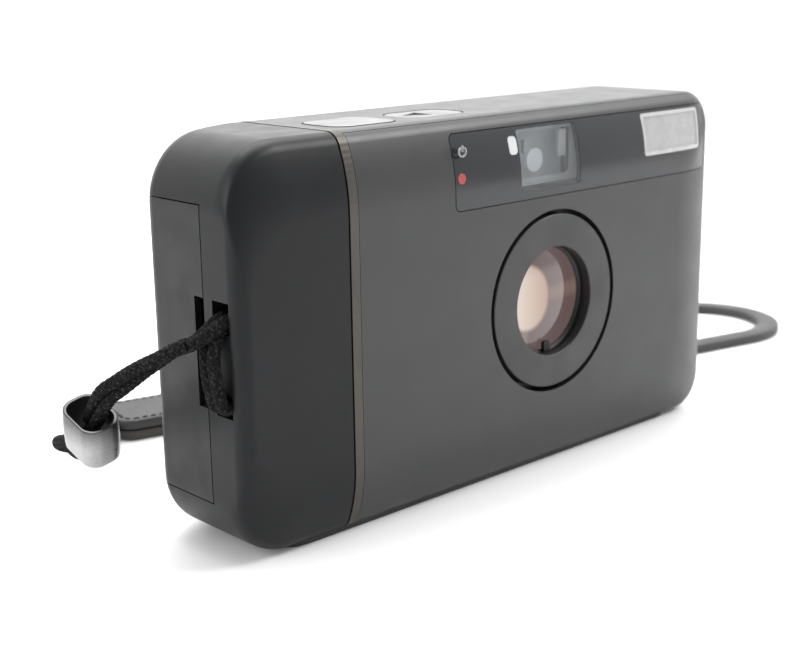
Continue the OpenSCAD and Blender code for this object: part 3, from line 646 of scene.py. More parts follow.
def plastic_with_painted_light(s, colour, strength, rough=0.3):
    """Pale plastic or metal with painted light: emission in its own colour stands in for light
    through the part and for bright reflections on it.
    """
    cloud = s.noise(240, 4)
    # The same colour is used for the surface and for its painted light.
    tone_and_painted_light = s.blend(cloud, scaled(colour, 0.8), scaled(colour, 1.05))
    s.set(Base_Color=tone_and_painted_light, Roughness=s.span(cloud, 0.3, 0.7, rough, rough + 0.15),
          Emission_Color=tone_and_painted_light, Emission_Strength=strength)
    s.bump(s.noise(1500, 3), 0.15, 0.05)


def liquid_crystal(s):
    """Grey-green display glass with a faint grid."""
    grid = s.cells(900, "DISTANCE_TO_EDGE", random=0.0)
    s.set(Base_Color=s.blend(s.span(grid, 0.0, 0.1), (0.16, 0.18, 0.15, 1),
                             (0.24, 0.27, 0.22, 1)),
          Roughness=s.span(s.noise(400, 3), 0.3, 0.7, 0.08, 0.16), Coat_Weight=0.5)
    s.bump(s.noise(900, 2), 0.05, 0.02)


LOOKS = {
    "body_black": (coated, (0.010, 0.0105, 0.0115), 0.42,
                   dict(dust=0.6, bump=0.1, level=0.6, rough_vary=0.035)),
    "grip_black": (coated, (0.0055, 0.006, 0.007), 0.4,
                   dict(dust=0.8, bump=0.1, level=0.23, rough_vary=0.035)),
    "hatch_black": (coated, (0.0065, 0.007, 0.008), 0.44, dict(dust=0.6, bump=0.14, level=0.32)),
    "strip_metal": (ribbed_metal, (0.07, 0.065, 0.058)),
    "base_black": (coated, (0.015, 0.015, 0.017), 0.5, dict(bump=0.25, grain=1800)),
    "panel_smoke": (coated, (0.008, 0.009, 0.011), 0.2,
                    dict(bump=0.02, level=0.55, rough_vary=0.04, dust=0.4)),
    "chassis_black": (coated, (0.012, 0.012, 0.013), 0.62, dict(bump=0.4, grain=1400)),
    "lens_black": (coated, (0.014, 0.0145, 0.015), 0.42, dict(bump=0.08, level=0.52)),
    "deep_black": (coated, (0.006, 0.006, 0.007), 0.55, dict(bump=0.3, grain=1800)),
    "button_silver": (coated, (0.15, 0.152, 0.155), 0.38,
                      dict(metal=0.4, bump=0.06, brushed=(1, 6, 1))),
    "steel": (coated, (0.55, 0.56, 0.57), 0.3, dict(metal=1.0, bump=0.15, brushed=(8, 1, 1))),
    "clasp_silver": (clasp_metal,),
    "brass": (coated, (0.58, 0.4, 0.16), 0.3, dict(metal=1.0, bump=0.15)),
    "gold": (coated, (0.78, 0.56, 0.22), 0.25, dict(metal=1.0, bump=0.1)),
    "gear_white": (coated, (0.66, 0.65, 0.6), 0.4, dict(bump=0.15)),
    "grey_plastic": (coated, (0.1, 0.102, 0.105), 0.45, dict(bump=0.2)),
    "cell_blue": (coated, (0.03, 0.09, 0.19), 0.3, dict(coat=0.4, bump=0.08)),
    "lamp_red": (plastic_with_painted_light, (0.32, 0.05, 0.045), 0.08, 0.25),
    "finder_clear": (glass, (0.9, 0.92, 0.93), 0.9),
    "clear_lens": (glass, (0.78, 0.84, 0.9), 0.75),
    "eye_clear": (glass, (0.5, 0.54, 0.58), 0.6),
    "smoke_clear": (glass, (0.16, 0.13, 0.11), 0.55),
    # These five emit in their own colour: painted light on the flash window, inside the viewfinder
    # and on the flash reflector.
    "flash_clear": (plastic_with_painted_light, (0.5, 0.5, 0.505), 0.12, 0.2),
    "flash_rim": (plastic_with_painted_light, (0.42, 0.42, 0.415), 0.1, 0.15),
    "finder_grey": (plastic_with_painted_light, (0.36, 0.37, 0.38), 0.18, 0.3),
    "finder_rim": (plastic_with_painted_light, (0.50, 0.51, 0.52), 0.16, 0.25),
    "mirror_silver": (plastic_with_painted_light, (0.7, 0.71, 0.72), 0.25, 0.15),
    "lens_painted_reflection": (lens_painted_reflection,),
    "display": (liquid_crystal,),
    "circuit": (board,),
    "cord_black": (cord_fibre,),
    "band_leather": (leather, (0.03, 0.029, 0.029)),
    "band_lining": (leather, (0.05, 0.047, 0.045), 0.6),
    "thread_black": (cord_fibre,),
    "symbol_grey": (coated, (0.32, 0.33, 0.34), 0.5, dict(bump=0.1)),
}


def material(name):
    """Makes one look: its maker, then the values, then any named options."""
    make, *values = LOOKS[name]
    options = values.pop() if values and isinstance(values[-1], dict) else {}
    s = Shader(name)
    make(s, *values, **options)
    return s.material


MATERIALS = {name: material(name) for name in LOOKS}


def dress(obj, look):
    obj.data.materials.clear()
    obj.data.materials.append(MATERIALS[look])


def place(obj, look, body="root", stands_for=None):
    """Gives a new piece its look and the body it rides on."""
    dress(obj, look)
    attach(obj, body)
    if stands_for:
        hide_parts(stands_for)


CAD_LOOKS = {
    "base_black": ["base_plate", "door_latch"],
    "body_black": ["film_door"],
    "chassis_black": ["chassis", "hinge_post", "viewfinder_tunnel", "lens_guide_tube",
                      "takeup_spool", "rewind_fork", "pressure_plate"],
    "deep_black": ["lens_barrel", "shutter_plate", "shutter_blade_a", "shutter_blade_b",
                   "af_module"],
    "lens_black": ["barrel_bezel", "lens_drive_ring"],
    "steel": ["film_door_pin", "battery_door_pin", "pressure_spring", "casing_screws",
              "tripod_bush", "lens_motor", "film_motor"],
    "brass": ["lens_motor_pinion", "film_motor_pinion"],
    "gold": ["battery_contacts", "dx_contacts"],
    "gear_white": ["reduction_gear", "rewind_gear_1", "rewind_gear_2", "rewind_gear_3"],
    "cell_blue": ["battery", "flash_capacitor"],
    "button_silver": ["shutter_button", "power_button", "mode_button"],
    "grey_plastic": ["zoom_rocker"],
    "clear_lens": ["front_lens", "rear_lens", "flash_tube"],
    "eye_clear": ["eyepiece"],
    "smoke_clear": ["film_window"],
    "display": ["lcd_panel"],
    "circuit": ["main_board"],
    # mirror_silver emits: painted light on the flash reflector.
    "mirror_silver": ["flash_reflector"],
    "lamp_red": ["self_timer_led"],
}
BEVELLED = {"film_door": 0.25, "shutter_button": 0.18, "power_button": 0.18, "base_plate": 0.2,
            "mode_button": 0.12, "zoom_rocker": 0.2, "door_latch": 0.12, "barrel_bezel": 0.14,
            "tripod_bush": 0.12}


def dress_cad():
    for look, nodes in CAD_LOOKS.items():
        for node in nodes:
            dress(finish_cad(node, BEVELLED.get(node, 0.0)), look)


# ---- shells and windows

def middle_of(node):
    """Centre of a node's box as seen from the front: (x, z)."""
    low, high = local_box(node)
    return (low.x + high.x) / 2, (low.z + high.z) / 2


COVER_X = local_box("top_cover")[0].x
EDGE_Y = local_box("top_cover")[0].y - SEAM
LENS_X, LENS_Z = middle_of("barrel_bezel")
LAMP_X, LAMP_Z = middle_of("self_timer_led")
HATCH_FRONT = local_box("battery_door")[0].y
HATCH_Z, HATCH_GAP, HATCH_REACH = (9.15, 54.05), 0.2, 17
HATCH_HINGE, FILM_HINGE = (18.4, 26.5), (23.9, 27.2)
KNUCKLES = ((19, 26), (37, 44))       # heights of the battery door's own knuckles
SLOTS_X, SLOTS_Y, SLOTS_Z = (-1, 4.8), (2.26, 6.14), ((23.5, 27), (36, 40.7))
BACK_CUT = 22                         # cutters for the back start at this depth


def outline_of(node, grow, r):
    """Rounded outline round a node's box as seen from the front."""
    low, high = local_box(node)
    return round_rect(low.x - grow, high.x + grow, low.z - grow, high.z + grow, r)


def back_hole(node, grow, r):
    return prism(outline_of(node, grow, r), "y", BACK_CUT, FAR)


def grown_footprint(node, grow, r):
    """Rounded outline round a node's box as seen from above."""
    low, high = local_box(node)
    return round_rect(low.x - grow, high.x + grow, low.y - grow, high.y + grow, r)


def button_slot(node):
    return prism(grown_footprint(node, 0.26, 3.2), "z", HEIGHT - 3, FAR)


def panel_cutter(grow):
    return through(outline_of("window_panel", grow, 1 + grow), -2.0, EDGE_Y - 0.05)


def window_hole(node, grow):
    return through(outline_of(node, grow, 0.6))


def side_hole(grow):
    """Small window beside the upper part of the viewfinder."""
    low, high = local_box("viewfinder_window")
    return through(round_rect(low.x - 2.3 - grow, low.x - 0.25 + grow,
                              high.z - 3.9 - grow, high.z - 0.9 + grow, 0.7))


def strap_slots():
    return [block(SLOTS_X, SLOTS_Y, z) for z in SLOTS_Z]


def front_shell():
    door_low, door_high = local_box("film_door")
    ring_hole, latch_slot = 16.05, ((WIDTH - 3, WIDTH + 1), (17, 22), (20.5, 34.2))
    shell = skin("front_shell", 0, WALL,
                 [block((COVER_X, FAR), (-1, EDGE_Y), (-1, FAR)),
                  block((COVER_X, FAR), (EDGE_Y - 1, 24.9), (-1, door_high.z + SEAM)),
                  block((COVER_X, FAR), (24, FAR), (-1, door_low.z - SEAM))],
                 [through(circle(LENS_X, LENS_Z, ring_hole)), panel_cutter(0.14), base_cut(),
                  block(*latch_slot)])
    place(shell, "body_black", "root", "front_cover")


def top_shell():
    rocker_slot = (27.2 - 0.4, 38.8 + 0.4, 52 - 0.4, 59.4 + 0.4)
    mode_x, mode_z, mode_r = 101, 55.5, 1.85
    shell = skin("top_shell", 0, WALL,
                 [block((COVER_X, FAR), (EDGE_Y + SEAM, FAR),
                        (local_box("top_cover")[0].z, FAR))],
                 [button_slot("shutter_button"), button_slot("power_button"),
                  back_hole("eyepiece", 0.05, 1.2), back_hole("lcd_panel", 0.05, 1.0),
                  prism(round_rect(*rocker_slot, 3.0), "y", BACK_CUT, FAR),
                  prism(circle(mode_x, mode_z, mode_r, 40), "y", BACK_CUT, FAR)])
    place(shell, "body_black", "root", "top_cover")


def accent_trim():
    low, high = local_box("accent_strip")
    shell = skin("accent_trim", -0.05, WALL,
                 [block((low.x + 0.2, high.x), (-1, FAR), (-1.3, FAR))],
                 [block((0, FAR), (24, FAR), (-1, 49.2)), base_cut()])
    place(shell, "strip_metal", "root", "accent_strip")


def grip_shell():
    high_x = local_box("grip_cap")[1].x
    z0, z1 = HATCH_Z[0] - HATCH_GAP, HATCH_Z[1] + HATCH_GAP
    shell = skin("grip_shell", 0, WALL, [block((-1, high_x), (-1, FAR), (-1, FAR))],
                 [prism(round_rect(-5, HATCH_REACH + HATCH_GAP, z0, z1, 1.1), "y",
                        HATCH_FRONT - HATCH_GAP, FAR),
                  block((15.5, 21.5), (24.6, FAR), (z0, z1)), *strap_slots(), base_cut()])
    place(shell, "grip_black", "root", "grip_cap")
    well = prism([(1.3, 21.6), (7.2, 21.6), (7.2, 42.6), (1.3, 42.6)], "x", 1.5, 6.0, "lug_well")
    carve(well, cut=strap_slots() + [block((WALL, SLOTS_X[1]), SLOTS_Y,
                                           (SLOTS_Z[0][0], SLOTS_Z[1][1]))])
    shade(well)
    place(well, "deep_black")


def battery_hatch():
    """Battery door with its knuckles and the dark well of its nail recess."""
    hatch = skin("battery_hatch", 0, WALL,
                 [prism(round_rect(-5, HATCH_REACH, *HATCH_Z, 1.0), "y", HATCH_FRONT, FAR)],
                 [prism(round_rect(-5, 1.0, 24, 40.7, 0.6), "y", HATCH_FRONT - 1, 10.5)])
    knuckles = [block((15.4, HATCH_HINGE[0]), (25.9, 26.9), z) for z in KNUCKLES]
    knuckles += [prism(circle(*HATCH_HINGE, 1.2, 32), "z", *z) for z in KNUCKLES]
    for knuckle in knuckles:
        combine(hatch, knuckle, "UNION")
    shade(hatch, 30)
    place(hatch, "hatch_black", "battery_door", "battery_door")
    nail = prism(round_rect(1.0, 2.4, 24.1, 40.6, 0.5), "y", HATCH_FRONT + 0.1, 10.4, "nail_well")
    shade(nail)
    place(nail, "deep_black", "battery_door")


def hinge_barrels():
    """Fixed barrels round the two door pins, above and below each door's own knuckles."""
    for name, centre, r, spans in (
            ("battery_hinge", HATCH_HINGE, 1.25, ((9.5, 18.7), (44.3, 53.7))),
            ("film_hinge", FILM_HINGE, 1.2, ((4.9, 9.7), (42.3, 47.8)))):
        for index, (low, high) in enumerate(spans):
            barrel = prism(circle(*centre, r, 32), "z", low, high, f"{name}_barrel_{index + 1}")
            shade(barrel)
            place(barrel, "chassis_black")


def window_panel():
    """Dark panel with its windows cut out, the viewfinder glass and the small side pane."""
    panel = skin("panel_glass", 0.0, 0.9, [panel_cutter(0.0)],
                 [window_hole("viewfinder_window", 0.03), window_hole("flash_lens", 0.03),
                  side_hole(0.02), through(circle(LAMP_X, LAMP_Z, 0.95, 32))])
    place(panel, "panel_smoke", "root", "window_panel")
    finder = skin("finder_glass", 0.06, 0.8, [window_hole("viewfinder_window", 0.0)])
    place(finder, "finder_clear", "root", "viewfinder_window")
    # The side pane emits: a painted highlight in the small window.
    pane = skin("finder_side_pane", 0.06, 0.8, [side_hole(0.0)])
    place(pane, "finder_rim")


def rib_comb(x0, x1, z0, z1):
    """Row of upright bars whose faces follow the body, to cut grooves between ribs."""
    pitch, groove, floor_depth = 0.5, 0.3, 0.42
    verts, faces = [], []
    for i in range(int((x1 - x0) / pitch)):
        x = x0 + (i + 0.3) * pitch
        outline = round_rect(x, x + groove, z0 + 0.1, z1 - 0.1, 0)
        more_verts, more_faces = prism_geometry(outline, "y", -1, 3.4)
        faces += [tuple(k + len(verts) for k in face) for face in more_faces]
        verts += more_verts
    comb = mesh_object("comb", verts, faces)
    face_outward(comb)
    tray = mesh_object("tray", *body_surface(floor_depth))
    face_outward(tray)
    combine(comb, tray, "DIFFERENCE")
    return comb


def flash_window():
    """Clear flash window: a bright rim round fine upright ribs, their brightness partly painted
    light from emission.
    """
    rim, corner = 0.6, 0.4
    low, high = local_box("flash_lens")
    inside = (low.x + rim, high.x - rim, low.z + rim, high.z - rim)
    window = skin("flash_glass", 0.03, 1.5, [window_hole("flash_lens", 0.0)],
                  [through(round_rect(*inside, corner))])
    place(window, "flash_rim", "root", "flash_lens")
    ribs = skin("flash_ribs", 0.22, 1.4, [through(round_rect(*inside, corner))],
                [rib_comb(*inside)])
    place(ribs, "flash_clear")


def finder_inside():
    """What shows behind the viewfinder window: a thin lens frame and bright upright bars; all
    these pieces emit, painted light where the finder's inside gets little real light.
    """
    low, high = local_box("viewfinder_window")
    depth, view_shift, bar_shift = 3.0, 3, 2.2
    wide, tall = high.x - low.x, high.z - low.z

    def part(name, outline, y, thick, look, hole=None):
        piece = prism(outline, "y", y, y + thick, name)
        if hole:
            shade(piece)
            carve(piece, cut=[through(hole, -2, 8)])
        shade(piece)
        place(piece, look)

    def bar(name, left, right, foot, top, r):
        """Upright bar between shares of the window's width and height."""
        part(name, round_rect(low.x + left * wide + bar_shift, low.x + right * wide + bar_shift,
                              high.z - foot * tall, high.z - top * tall, r),
             depth - 0.6, 0.7, "flash_rim")

    part("finder_back", round_rect(low.x - 0.1, high.x + 4.6, low.z - 0.1, high.z + 0.1, 0.6),
         depth + 1.6, 0.6, "finder_grey")
    part("finder_frame", round_rect(low.x + 1.6, high.x + 3.4, low.z + 0.1, high.z - 0.1, 0.8),
         depth + 0.5, 0.9, "finder_rim",
         round_rect(low.x + 2.5, high.x + 1.8, low.z + 1.2, high.z - 0.8, 1.0))
    part("finder_lens_mount", circle(low.x + 0.3 * wide + view_shift, low.z + 0.42 * tall,
                                     0.2 * tall, 40), depth + 0.9, 0.6, "mirror_silver")
    bar("finder_bar_1", 0.64, 0.77, 0.55, 0.1, 0.4)
    bar("finder_bar_2", 0.06, 0.14, 0.42, 0.2, 0.3)


def symbols():
    """Plain self-timer sign above the lamp: an open circle with a pointer."""
    height, rise, outer_r, inner_r = 0.05, 4.3, 0.85, 0.68
    x, z = LAMP_X - 0.1, LAMP_Z + rise
    ring = arc(x, z, outer_r, 120, 420, 30) + arc(x, z, inner_r, 420, 120, 30)
    bar = [(LAMP_X - 0.18, z), (LAMP_X - 0.02, z), (LAMP_X - 0.02, z + 1.0),
           (LAMP_X - 0.18, z + 1.0)]
    for name, outline in (("timer_sign", ring), ("timer_pointer", bar)):
        sign = prism(outline, "y", -height, 0.3, name)
        triangulate(sign)
        shade(sign)
        place(sign, "symbol_grey")


# ---- lens

def lathe(name, profile, centre, n=96):
    """Turns (radius, depth) points round the lens axis; the profile is a closed loop."""
    cx, cz = centre
    verts = []
    for r, y in profile:
        for i in range(n):
            a = 2 * math.pi * i / n
            verts.append((cx + r * math.cos(a), y, cz + r * math.sin(a)))
    obj = mesh_object(name, verts, ring_faces(len(profile), n, closed=True))
    shade(obj, 30)
    return obj


def lens():
    """Domed cover glass with a thin index tab at its foot and the dark ring round it."""
    centre = (LENS_X, LENS_Z)
    radius, rim_y, sag, thick, steps = 9.52, 3.1, 1.0, 0.5, 14
    dome = (radius ** 2 + sag ** 2) / (2 * sag)
    profile = [(0.02, rim_y + thick), (0.02, rim_y - sag)]
    for i in range(1, steps + 1):
        r = radius * i / steps
        profile.append((r, rim_y - sag + dome - math.sqrt(dome ** 2 - r ** 2)))
    profile.append((radius, rim_y + thick))
    cover = lathe("cover_glass_dome", profile, centre)
    weighted(cover)
    place(cover, "lens_painted_reflection", "lens_barrel", "cover_glass")
    ring = lathe("glass_ring", [(9.1, 2.62), (9.56, 2.3), (9.56, 2.75), (9.1, 2.85)], centre)
    place(ring, "deep_black", "lens_barrel")
    tab = prism(round_rect(LENS_X - 0.5, LENS_X + 0.9, LENS_Z - 9.5, LENS_Z - 7.6, 0.25, 4),
                "y", 1.9, 2.6, "glass_tab")
    shade(tab)
    place(tab, "deep_black", "lens_barrel")


# ---- strap

def smooth_path(points, spacing):
    """Evenly spaced points on a smooth curve through the given ones, in mm."""
    pts = [Vector(p) for p in points]
    pts = [2 * pts[0] - pts[1]] + pts + [2 * pts[-1] - pts[-2]]
    dense = []
    for i in range(1, len(pts) - 2):
        p0, p1, p2, p3 = pts[i - 1:i + 3]
        for k in range(40):
            t = k / 40
            dense.append(0.5 * ((2 * p1) + (p2 - p0) * t + (2 * p0 - 5 * p1 + 4 * p2 - p3) * t * t
                                + (3 * p1 - p0 - 3 * p2 + p3) * t ** 3))
    dense.append(pts[-2])
    path, carried = [dense[0]], 0.0
    for a, b in zip(dense, dense[1:]):
        step = (b - a).length
        while carried + step >= spacing:
            share = (spacing - carried) / step
            a = a + (b - a) * share
            path.append(a.copy())
            step = (b - a).length
            carried = 0.0
        carried += step
    return path


def frames(path, first_side=Vector((0, 1, 0))):
    """Tangent and two crossways directions at each point, carried along without twist."""
    result, side = [], first_side
    for i, point in enumerate(path):
        ahead = path[min(i + 1, len(path) - 1)] - path[max(i - 1, 0)]
        tangent = ahead.normalized()
        side = (side - tangent * side.dot(tangent)).normalized()
        result.append((point, tangent, side, tangent.cross(side)))
    return result


BRAID_STRANDS, BRAID_PITCH, BRAID_DEPTH = 12, 1.1, 0.24
BRAID_AROUND, BRAID_SPACING = 36, 0.14


def braid_height(angle, along):
    """Height of crossing threads on a braided cord, 0 to 1."""
    turn = angle / (2 * math.pi) * BRAID_STRANDS / 2
    a, b = turn + along / BRAID_PITCH, turn - along / BRAID_PITCH
    over = (math.floor(a) + math.floor(b)) % 2
    return math.sin(math.pi * ((a if over else b) % 1.0))


def braided_tube(name, points, radius, offset=0.0, phase=0.0, twist=0.0):
    """Braided cord along a path, offset from it and twisting round it."""
    line, verts = [], []
    for i, (point, _, side, up) in enumerate(frames(smooth_path(points, BRAID_SPACING))):
        a = phase + twist * i * BRAID_SPACING
        line.append(point + (side * math.cos(a) + up * math.sin(a)) * offset)
    rings = frames(line)
    for i, (point, _, side, up) in enumerate(rings):
        for k in range(BRAID_AROUND):
            a = 2 * math.pi * k / BRAID_AROUND
            r = radius * (1 + BRAID_DEPTH * (braid_height(a, i * BRAID_SPACING) - 0.6))
            verts.append(tuple(point + (side * math.cos(a) + up * math.sin(a)) * r))
    obj = mesh_object(name, verts, tube_faces(len(rings), BRAID_AROUND))
    shade(obj, 70)
    dress(obj, "cord_black")
    return obj


CORD_Y = sum(v.y for v in local_box("strap_hitch")) / 2
LOW_LOOP = [(1.2, 0.0, 25.0), (-0.7, 0.0, 25.2), (-1.5, 0.05, 27.2), (-1.9, 0.25, 29.8),
            (-1.9, 0.8, 32.2), (-1.5, 1.3, 34.2), (-0.6, 1.6, 36.0), (1.2, 1.6, 37.2)]
CROSS = [(1.2, 0.0, 38.2), (-0.7, 0.1, 37.6), (-2.0, 0.5, 36.6), (-3.3, 1.2, 35.6),
         (-4.3, 2.0, 34.9), (-5.3, 2.9, 34.5), (-6.2, 3.7, 34.0)]
CLASP_AT = sum(local_box("strap_clasp"), Vector((0, 0, 0))) / 2 + Vector((-0.3, 0.3, 0.0))


def hitch():
    """Loop round the bar, and two leads that run on from it towards the strap, one of them sagging
    a little.
    """
    r, apart, sag = 0.92, 0.95, 0.2
    for index, side in enumerate((-apart, apart)):
        spread = [(x, CORD_Y + side + shift * 0.5, z) for x, shift, z in LOW_LOOP]
        rope = braided_tube(f"hitch_loop_{index + 1}", spread, r)
        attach(rope, "root")
        if index == 0:
            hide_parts("strap_hitch")
        last = len(CROSS) - 1
        lean = [(x, CORD_Y + side * (1 - 0.12 * i) + shift,
                 z - (sag * i * (1 - i / last) if side > 0 else 0))
                for i, (x, shift, z) in enumerate(CROSS)]
        rope = braided_tube(f"hitch_lead_{index + 1}", lean, r)
        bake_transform(rope)


def cords():
    """Hitch round the bar, then the doubled cord to the clasp and on to the band."""
    hitch()
    x, y, z = CLASP_AT
    upper = [(-4.5, CORD_Y + 2.1, 34.85), (-5.6, CORD_Y + 3.1, 34.3), (-7.2, 8.6, 33.2),
             (-8.9, 12.0, 30.9), (-10.5, 15.2, 28.4), (-11.8, 17.7, 26.2),
             (x - 0.1, y - 0.2, z + 1.0)]
    lower = [(x + 0.1, y + 0.1, z - 0.4), (-11.0, 25.0, 17.0), (-10.3, 29.5, 16.9),
             (-9.2, 34.0, 15.6), (-7.5, 38.5, 13.6), (-4.4, 43.4, 10.6), (0.5, 48.8, 7.3),
             (7.0, 55.6, 4.7), (13.0, 62.2, 3.1), (20, 70, 2.2)]
    for index, phase in enumerate((0.3, 0.3 + math.pi)):
        rope = braided_tube(f"cord_upper_{index + 1}", upper, 0.95, 0.82, phase, 0.1)
        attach(rope, "strap")
        if index == 0:
            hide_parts("strap_cord")
        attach(braided_tube(f"cord_lower_{index + 1}", lower, 0.9, 0.8, phase, 0.08), "strap")


TURN = math.radians(-58)      # turn of the clasp about its own axis
LEAN, TIP = math.radians(-31), math.radians(27)
CLASP_SIZE, CLASP_CORNER = (4.3, 3.1), 2.4


def clasp():
    """Rounded metal sleeve with a rolled lip at both ends; its inner wall is painted black as
    painted shade.
    """
    spin = Matrix.Rotation(LEAN, 3, "Z") @ Matrix.Rotation(TIP, 3, "X")
    stations = [(-3.6, 0.93), (-3.5, 0.985), (-3.0, 1.0), (0, 1.03), (3.0, 1.0), (3.5, 0.985),
                (3.6, 0.93), (3.55, 0.86), (3.2, 0.83), (0, 0.82), (-3.2, 0.83), (-3.55, 0.86)]
    half_u, half_v = CLASP_SIZE
    outline = [(u * math.cos(TURN) - v * math.sin(TURN), u * math.sin(TURN) + v * math.cos(TURN))
               for u, v in round_rect(-half_u, half_u, -half_v, half_v, CLASP_CORNER, 14)]
    verts = [tuple(spin @ Vector((u * scale, v * scale, z)) + CLASP_AT)
             for z, scale in stations for u, v in outline]
    obj = mesh_object("clasp_sleeve", verts, ring_faces(len(stations), len(outline), closed=True))
    shade(obj, 50)
    place(obj, "clasp_silver", "strap", "strap_clasp")
    # The inner wall gets the deep black look: painted shade inside the sleeve.
    obj.data.materials.append(MATERIALS["deep_black"])
    for poly in obj.data.polygons:
        outward = spin.inverted() @ poly.normal
        spot = spin.inverted() @ (poly.center - at(*CLASP_AT))
        if abs(outward.z) < 0.5 and outward.x * spot.x + outward.y * spot.y < 0:
            poly.material_index = 1


BAND_START, BAND_END = Vector((58, 63.5)), Vector((167, 38.6))
BAND_ALONG = (BAND_END - BAND_START).normalized()
BAND_ACROSS = Vector((-BAND_ALONG.y, BAND_ALONG.x))
BAND_R, BAND_WIDTH, BAND_THICK, TABLE_GAP = 16.0, 5.0, 2.0, 0.1
TAB = (-38, -13.6, -7, 7)
TAB_TOP = 4.1


def on_table(u, v, z):
    """Point given along and across the band, at height z."""
    p = BAND_START + BAND_ALONG * u + BAND_ACROSS * v
    return (p.x, p.y, z)


def band_loop():
    """Leather wrist loop: a crowned strip swept round a stadium."""
    length, half = (BAND_END - BAND_START).length, BAND_WIDTH / 2
    section = [(-1, 0.25), (-0.94, 0.05), (-0.8, 0), (0.8, 0), (0.94, 0.05), (1, 0.25), (1, 0.75),
               (0.94, 0.93), (0.8, 1.0), (0, 1.07), (-0.8, 1.0), (-0.94, 0.93), (-1, 0.75)]
    outline = arc(0, 0, BAND_R, 90, 270, 40) + arc(length, 0, BAND_R, 270, 450, 40)
    verts, count = [], len(outline)
    for i, (u, v) in enumerate(outline):
        (pu, pv), (nu, nv) = outline[i - 1], outline[(i + 1) % count]
        tangent = Vector((nu - pu, nv - pv)).normalized()
        for s, h in section:
            verts.append(on_table(u + tangent.y * s * half, v - tangent.x * s * half,
                                  TABLE_GAP + h * BAND_THICK))
    loop = mesh_object("band_loop", verts, ring_faces(count, len(section), closed=True))
    shade(loop, 40)
    place(loop, "band_leather", "strap", "strap_band")


def band_tabs():
    """Doubled leather tab that joins the loop to the cord."""
    u0, u1, v0, v1 = TAB
    for name, z0, z1, look in (("tab_lower", TABLE_GAP, 2.0, "band_lining"),
                               ("tab_upper", 2.15, TAB_TOP, "band_leather")):
        rings = [(0.35, z0), (0.1, z0 + 0.12), (0.0, z0 + 0.45), (0.0, z1 - 0.5),
                 (0.12, z1 - 0.18), (0.45, z1 - 0.02), (1.4, z1)]
        verts = []
        for pull, z in rings:
            outline = round_rect(u0 + pull, u1 - pull, v0 + pull, v1 - pull, 3.2 - pull, 10)
            verts += [on_table(u, v, z) for u, v in outline]
        tab = mesh_object(name, verts, tube_faces(len(rings), len(outline)))
        shade(tab, 40)
        place(tab, look, "strap")


def stitch_marks(gap=1.7):
    """Place and direction of each stitch round the tab."""
    path = round_rect(-36.9, -14.7, -5.9, 5.9, 2.2, 6)
    path.append(path[0])
    marks, walked = [], 0.0
    for (u0, v0), (u1, v1) in zip(path, path[1:]):
        step = math.hypot(u1 - u0, v1 - v0)
        if step == 0:
            continue
        du, dv = (u1 - u0) / step, (v1 - v0) / step
        position = (gap - walked % gap) % gap
        while position < step:
            share = position / step
            marks.append((u0 + (u1 - u0) * share, v0 + (v1 - v0) * share, du, dv))
            position += gap
        walked += step
    return marks


def stitches():
    """Row of stitches round the tab, each a small rounded bar let into the leather."""
    half, around = 1.1 / 2, 8
    stations = ((-1, 0.12), (-0.6, 0.24), (0.6, 0.24), (1, 0.12))
    verts, faces = [], []
    for u, v, du, dv in stitch_marks():
        faces += [tuple(len(verts) + k for k in face)
                  for face in tube_faces(len(stations), around)]
        for s, fat in stations:
            for k in range(around):
                a = math.pi * 2 * k / around
                side, rise = math.cos(a) * fat, math.sin(a) * fat * 0.8
                verts.append(on_table(u + du * s * half - dv * side,
                                      v + dv * s * half + du * side, TAB_TOP + rise))
    row = mesh_object("tab_stitches", verts, faces)
    shade(row, 60)
    place(row, "thread_black", "strap")


# ---- light, floor and camera

FLOOR_HALF = 4.0
BRIGHT_SIDE = (0.68, 0.73, 0.05)      # the side away from the camera
WORLD_RAMP = {"From Min": -0.5, "From Max": 0.9, "To Min": 0.52, "To Max": 2.3}
SEEN_WHITE = 1.1                      # the camera itself sees an even white
LIGHTS = (("top_box", (0.10, 0.18, 0.62), (0, 0, 0.03), (0.5, 0.4), 3.2),
          ("side_box", (-0.62, 0.1, 0.32), (0, 0, 0.03), (0.35, 0.5), 2.5),
          ("floor_box", (0.35, -0.3, 0.5), (0.22, -0.15, 0), (0.3, 0.3), 3.0))


def floor():
    mesh = bpy.data.meshes.new("floor")
    mesh.from_pydata([(x * FLOOR_HALF, y * FLOOR_HALF, 0)
                      for x, y in ((-1, -1), (1, -1), (1, 1), (-1, 1))], [], [(0, 1, 2, 3)])
    obj = new_object("floor", mesh)
    s = Shader("floor_white")
    s.set(Base_Color=s.blend(s.noise(3, 3), grey(0.80), grey(0.83)), Roughness=0.55,
          Specular_IOR_Level=0.25, Emission_Color=grey(1.0), Emission_Strength=0.03)
    s.bump(s.noise(900, 3), 0.03, 0.02)
    obj.data.materials.append(s.material)


def light(name, where, aim, size, power):
    data = bpy.data.lights.new(name, "AREA")
    data.shape = "RECTANGLE"
    data.size, data.size_y = size
    data.energy = power
    obj = new_object(name, data)
    obj.location = where
    obj.rotation_euler = (Vector(aim) - Vector(where)).to_track_quat("-Z", "Y").to_euler()


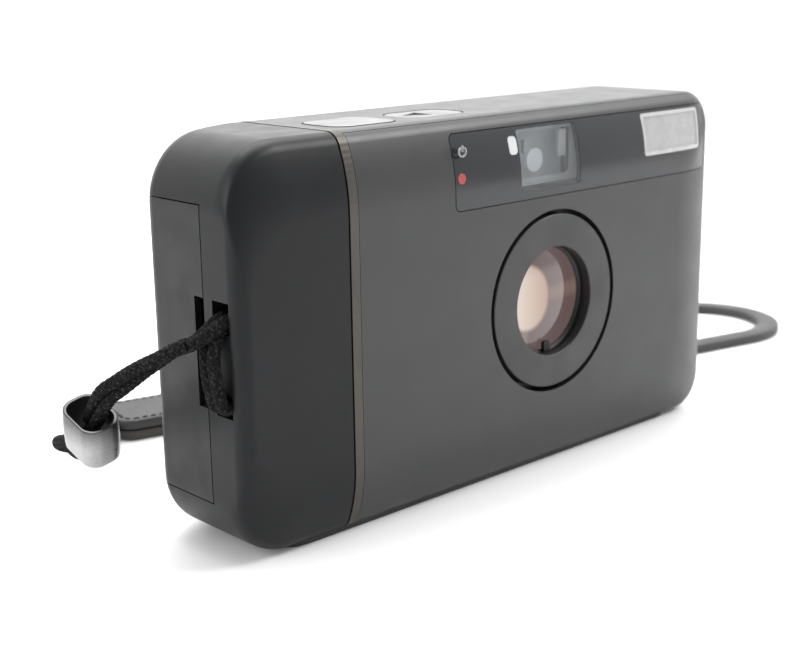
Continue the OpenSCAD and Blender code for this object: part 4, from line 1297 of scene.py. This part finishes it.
def studio():
    """Soft world, brighter on the far side, three light boxes and a plain view transform."""
    world = bpy.data.worlds.new("studio")
    bpy.context.scene.world = world
    world.use_nodes = True
    nodes, links = world.node_tree.nodes, world.node_tree.links
    background = nodes["Background"]
    background.inputs["Color"].default_value = grey(1.0)
    toward = nodes.new("ShaderNodeVectorMath")
    toward.operation = "DOT_PRODUCT"
    links.new(nodes.new("ShaderNodeTexCoord").outputs["Generated"], toward.inputs[0])
    toward.inputs[1].default_value = BRIGHT_SIDE
    gain = nodes.new("ShaderNodeMapRange")
    gain.interpolation_type = "SMOOTHSTEP"
    links.new(toward.outputs["Value"], gain.inputs["Value"])
    for key, number in WORLD_RAMP.items():
        gain.inputs[key].default_value = number
    seen = nodes.new("ShaderNodeMix")
    links.new(nodes.new("ShaderNodeLightPath").outputs["Is Camera Ray"], seen.inputs[0])
    links.new(gain.outputs["Result"], seen.inputs[2])
    seen.inputs[3].default_value = SEEN_WHITE
    links.new(seen.outputs[0], background.inputs["Strength"])
    for values in LIGHTS:
        light(*values)
    view = bpy.context.scene.view_settings
    view.view_transform = "Standard"
    view.look = "None"


CAMERA_AT = (-111.71, -153.88, 85.79)
AZIMUTH, ELEVATION, ROLL = -42.81, 14.29, 0.86
LENS, SENSOR = 62.63, 36.0
STOP = 42.0
FOCUS_AT = (16, 0, 34)
CLIP = (0.01, 20)


def camera():
    a, e, c = (math.radians(v) for v in (AZIMUTH, ELEVATION, ROLL))
    back = Vector((math.sin(a) * math.cos(e), -math.cos(a) * math.cos(e), math.sin(e)))
    right = Vector((math.cos(a), math.sin(a), 0))
    up = back.cross(right)
    turned_right = right * math.cos(c) - up * math.sin(c)
    turned_up = right * math.sin(c) + up * math.cos(c)
    data = bpy.data.cameras.new("camera")
    data.sensor_width, data.lens = SENSOR, LENS
    data.clip_start, data.clip_end = CLIP
    data.dof.use_dof = True
    data.dof.aperture_fstop = STOP
    obj = new_object("camera", data)
    rotation = Matrix((turned_right, turned_up, back)).transposed()
    obj.matrix_world = Matrix.Translation(at(*CAMERA_AT)) @ rotation.to_4x4()
    focus = new_object("focus", None)
    focus.location = at(*FOCUS_AT)
    data.dof.focus_object = focus
    bpy.context.scene.camera = obj


for make in (dress_cad, front_shell, top_shell, accent_trim, grip_shell, battery_hatch,
             window_panel, flash_window, finder_inside, symbols, lens, cords, hinge_barrels,
             clasp, band_loop, band_tabs, stitches, floor, studio, camera):
    make()
